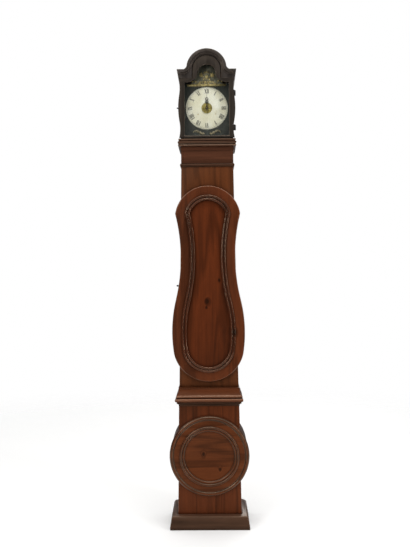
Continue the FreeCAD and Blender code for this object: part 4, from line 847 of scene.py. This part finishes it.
rosetteSetup = {"front": -0.0692, "petals": 8, "petalReach": 0.0160, "petalSize": (0.0046, 0.0011, 0.0074),
                "rings": ((0.0255, 0.0011), (0.0078, 0.0010))}


def addBlob(place, size, turn=0.0):
    bpy.ops.mesh.primitive_uv_sphere_add(segments=16, ring_count=10, radius=1.0)
    blob = bpy.context.object
    blob.scale = size
    blob.rotation_euler = (0.0, math.radians(turn), 0.0)
    blob.location = place
    settled(blob)
    return blob


def makeRosette():
    look = rosetteSetup
    x, z = dialSetup["centre"]
    pieces = []
    for petal in range(look["petals"]):
        turn = 360.0 / look["petals"] * petal
        reach = look["petalReach"]
        angle = math.radians(turn)
        place = (x + reach * math.sin(angle), look["front"], z + reach * math.cos(angle))
        pieces.append(addBlob(place, look["petalSize"], turn))
    for radius, thick in look["rings"]:
        bpy.ops.mesh.primitive_torus_add(major_radius=radius, minor_radius=thick,
                                         major_segments=64, minor_segments=10,
                                         location=(x, look["front"], z),
                                         rotation=(math.radians(90.0), 0.0, 0.0))
        settled(bpy.context.object)
        pieces.append(bpy.context.object)
    rosette = joinedPieces(pieces, "dialRosette")
    smoothed(rosette, smoothTo)
    fitted(rosette, bodyOf["centre_disc"], slotOf["centre_disc"], "dialBrass")


makeDialPaint()
makeRosette()
print("dial painted")


# Ropes: laid strands, screwed along their length

ropeSetup = {"top": 2.082, "bottom": 0.992, "place": (0.0698, -0.009), "radius": 0.00125, "reach": 0.00122,
             "strands": 3, "lay": 0.0160, "lift": 0.9, "steps": 12, "corners": 18, "swell": 0.45,
             "near": 0.00001}


def makeRope(node, side):
    look = ropeSetup
    x, y = side * look["place"][0], look["place"][1]
    long = look["top"] - look["bottom"]
    near = look["near"]
    bpy.ops.mesh.primitive_circle_add(vertices=look["corners"], radius=look["radius"])
    rope = bpy.context.object
    rope.name = node + ".laid"
    for point in rope.data.vertices:
        angle = math.atan2(point.co.y, point.co.x)
        wave = 1.0 - look["swell"] + look["swell"] * math.cos(look["strands"] * angle)
        lobe = look["reach"] + look["radius"] * wave
        point.co.x = lobe * math.cos(angle)
        point.co.y = lobe * math.sin(angle)
    turns = round(long / look["lay"])
    applyModifier(rope, "SCREW", axis="Z", angle=math.radians(360.0), screw_offset=long / turns,
                  iterations=turns, steps=look["steps"], render_steps=look["steps"],
                  use_merge_vertices=True, merge_threshold=near)
    editAll(rope)
    bpy.ops.mesh.normals_make_consistent(inside=False)
    bpy.ops.mesh.select_all(action="DESELECT")
    bpy.ops.object.mode_set(mode="OBJECT")
    for level in (0.0, long):
        for edge in rope.data.edges:
            edge.select = all(abs(rope.data.vertices[v].co.z - level) < near for v in edge.vertices)
        bpy.ops.object.mode_set(mode="EDIT")
        bpy.ops.mesh.edge_face_add()
        bpy.ops.mesh.select_all(action="DESELECT")
        bpy.ops.object.mode_set(mode="OBJECT")
    rope.location = (x, y, look["bottom"])
    settled(rope)
    smoothed(rope, smoothTo)
    fitted(rope, bodyOf[node], slotOf[node], "hempFibre")
    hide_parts(node)
    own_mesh(rope)


makeRope("going_rope", 1.0)
makeRope("strike_rope", -1.0)
print("ropes laid")


# Pressed gilt leaves, blossoms and stems for the crest and the sprays under the dial

leafSetup = {"segments": 12, "rings": 9, "wide": (1.25, 0.9), "thick": (1.1, 0.6), "fold": 0.16, "arch": 0.25}
stemSetup = {"round": 2, "steps": 8}
blossomSetup = {"petalWide": 0.72, "heart": 0.30, "heartThick": 0.9, "turn": 12.0}


# A pointed leaf one unit long from its foot, folded along its middle and arched
def makeLeaf():
    look = leafSetup
    bpy.ops.mesh.primitive_uv_sphere_add(segments=look["segments"], ring_count=look["rings"], radius=0.5,
                                         location=(0.0, 0.0, 0.5))
    leaf = bpy.context.object
    settled(leaf)
    for point in leaf.data.vertices:
        along = point.co.z
        point.co.x *= look["wide"][0] - look["wide"][1] * along
        point.co.y *= look["thick"][0] - look["thick"][1] * along
        point.co.y += look["fold"] * abs(point.co.x) - look["arch"] * (along - 0.5) ** 2
    smoothed(leaf, smoothTo)
    return leaf


def copyLeaf(leaf, place, long, wide, thick, turn):
    twin = bpy.data.objects.new("leaf", leaf.data.copy())
    bpy.context.scene.collection.objects.link(twin)
    twin.scale = (wide, thick, long)
    twin.rotation_euler = (0.0, math.radians(turn), 0.0)
    twin.location = place
    settled(twin)
    return twin


# A stem through points of x, z and thickness, on a flat ground
def makeStem(ground, knots):
    bpy.ops.curve.primitive_bezier_curve_add()
    stem = bpy.context.object
    line = stem.data.splines[0]
    line.bezier_points.add(len(knots) - 2)
    for knot, (x, z, thick) in zip(line.bezier_points, knots):
        knot.co = (x, ground, z)
        knot.radius = thick
        knot.handle_left_type = "AUTO"
        knot.handle_right_type = "AUTO"
    stem.data.dimensions = "3D"
    stem.data.bevel_depth = 1.0
    stem.data.bevel_resolution = stemSetup["round"]
    stem.data.resolution_u = stemSetup["steps"]
    stem.data.use_fill_caps = True
    selectOnly(stem)
    bpy.ops.object.convert(target="MESH")
    stem = bpy.context.object
    settled(stem)
    return stem


def makeBlossom(leaf, place, reach, petals, thick):
    look = blossomSetup
    wide = look["petalWide"] * reach
    pieces = [copyLeaf(leaf, place, reach, wide, thick, look["turn"] + 360.0 / petals * petal)
              for petal in range(petals)]
    heart = look["heart"] * reach
    pieces.append(addBlob(place, (heart, look["heartThick"] * thick, heart)))
    return pieces


crestSetup = {
    "ground": -0.0640, "thick": 0.0070, "roseLift": 0.0006, "leafShare": 0.8,
    "roses": ((0.0, 2.272, 0.0165, 8), (-0.0270, 2.281, 0.0125, 6), (0.0290, 2.280, 0.0140, 6)),
    "palm": {"place": (0.0, 2.283), "angles": (-58.0, -30.0, 0.0, 30.0, 58.0), "long": 0.0210, "wide": 0.0085},
    "leaves": ((-0.010, 2.262, 0.0230, 0.0105, -112.0), (0.010, 2.262, 0.0250, 0.0110, 112.0),
               (-0.004, 2.250, 0.0190, 0.0090, -150.0), (0.004, 2.250, 0.0190, 0.0090, 150.0),
               (-0.012, 2.247, 0.0200, 0.0095, -98.0), (0.012, 2.247, 0.0210, 0.0095, 98.0),
               (-0.030, 2.243, 0.0170, 0.0085, -78.0), (0.030, 2.243, 0.0180, 0.0085, 78.0),
               (-0.032, 2.240, 0.0150, 0.0075, -104.0), (0.034, 2.240, 0.0160, 0.0075, 104.0),
               (-0.052, 2.246, 0.0140, 0.0070, -62.0), (0.054, 2.247, 0.0150, 0.0070, 62.0),
               (-0.053, 2.243, 0.0140, 0.0065, -112.0), (0.055, 2.243, 0.0150, 0.0065, 112.0),
               (-0.068, 2.247, 0.0120, 0.0060, -90.0), (0.070, 2.248, 0.0130, 0.0060, 90.0)),
    "stems": (((0.0, 2.240, 0.0022), (0.022, 2.246, 0.0020), (0.046, 2.243, 0.0015), (0.072, 2.248, 0.0008)),
              ((0.0, 2.262, 0.0020), (0.013, 2.270, 0.0017), (0.026, 2.278, 0.0012))),
}


def makeCrest(leaf):
    look = crestSetup
    ground = look["ground"]
    pieces = []
    for x, z, reach, petals in look["roses"]:
        pieces += makeBlossom(leaf, (x, ground - look["roseLift"], z), reach, petals, look["thick"])
    palm = look["palm"]
    foot = (palm["place"][0], ground, palm["place"][1])
    for angle in palm["angles"]:
        pieces.append(copyLeaf(leaf, foot, palm["long"], palm["wide"], look["thick"], angle))
    for x, z, long, wide, turn in look["leaves"]:
        pieces.append(copyLeaf(leaf, (x, ground, z), long, wide, look["leafShare"] * look["thick"], turn))
    for knots in look["stems"]:
        pieces.append(makeStem(ground, knots))
        pieces.append(makeStem(ground, [(-x, z, thick) for x, z, thick in knots]))
    crest = joinedPieces(pieces, "giltCrest")
    smoothed(crest, smoothTo)
    fitted(crest, bodyOf["fronton"], slotOf["fronton"], "gilt")


spraySetup = {
    "ground": -0.0610, "thick": 0.0040,
    "stem": ((0.012, 1.984, 0.0012), (0.020, 1.982, 0.0030), (0.034, 1.988, 0.0032), (0.050, 1.998, 0.0030),
             (0.063, 1.998, 0.0026), (0.071, 1.989, 0.0012)),
    "leaves": ((0.014, 1.983, 0.0140, 0.0070, 52.0), (0.026, 1.985, 0.0150, 0.0070, 40.0),
               (0.028, 1.985, 0.0130, 0.0060, 96.0), (0.040, 1.993, 0.0130, 0.0060, 92.0),
               (0.042, 1.993, 0.0130, 0.0065, 36.0), (0.056, 1.998, 0.0120, 0.0060, 118.0)),
}


def makeSprays(leaf):
    look = spraySetup
    pieces = []
    for side in (1.0, -1.0):
        pieces.append(makeStem(look["ground"], [(side * x, z, thick) for x, z, thick in look["stem"]]))
        for x, z, long, wide, turn in look["leaves"]:
            pieces.append(copyLeaf(leaf, (side * x, look["ground"], z), long, wide, look["thick"], side * turn))
    sprays = joinedPieces(pieces, "dialSprays")
    smoothed(sprays, smoothTo)
    fitted(sprays, bodyOf["dial_plate"], slotOf["fronton"], "sprayGilt")


# The crest's field keeps the frame's shape, and the rail below it gets its own bright strip of gilt
railSetup = {"top": 2.2345, "front": -0.0642, "edge": 0.0008}


def dressCrestField():
    field = copiedNode("fronton", "fronton.field")
    fitted(field, bodyOf["fronton"], slotOf["fronton"], "dullGilt", "gilt")
    for face in field.data.polygons:
        low = all(field.data.vertices[v].co.z < railSetup["top"] for v in face.vertices)
        face.material_index = 1 if low and face.center.y < railSetup["front"] else 0
    softened(field, railSetup["edge"])
    smoothed(field)
    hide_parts("fronton")


leafShape = makeLeaf()
makeCrest(leafShape)
makeSprays(leafShape)
bpy.data.objects.remove(leafShape)
dressCrestField()
print("crest and sprays gilded")


print("pieces done")
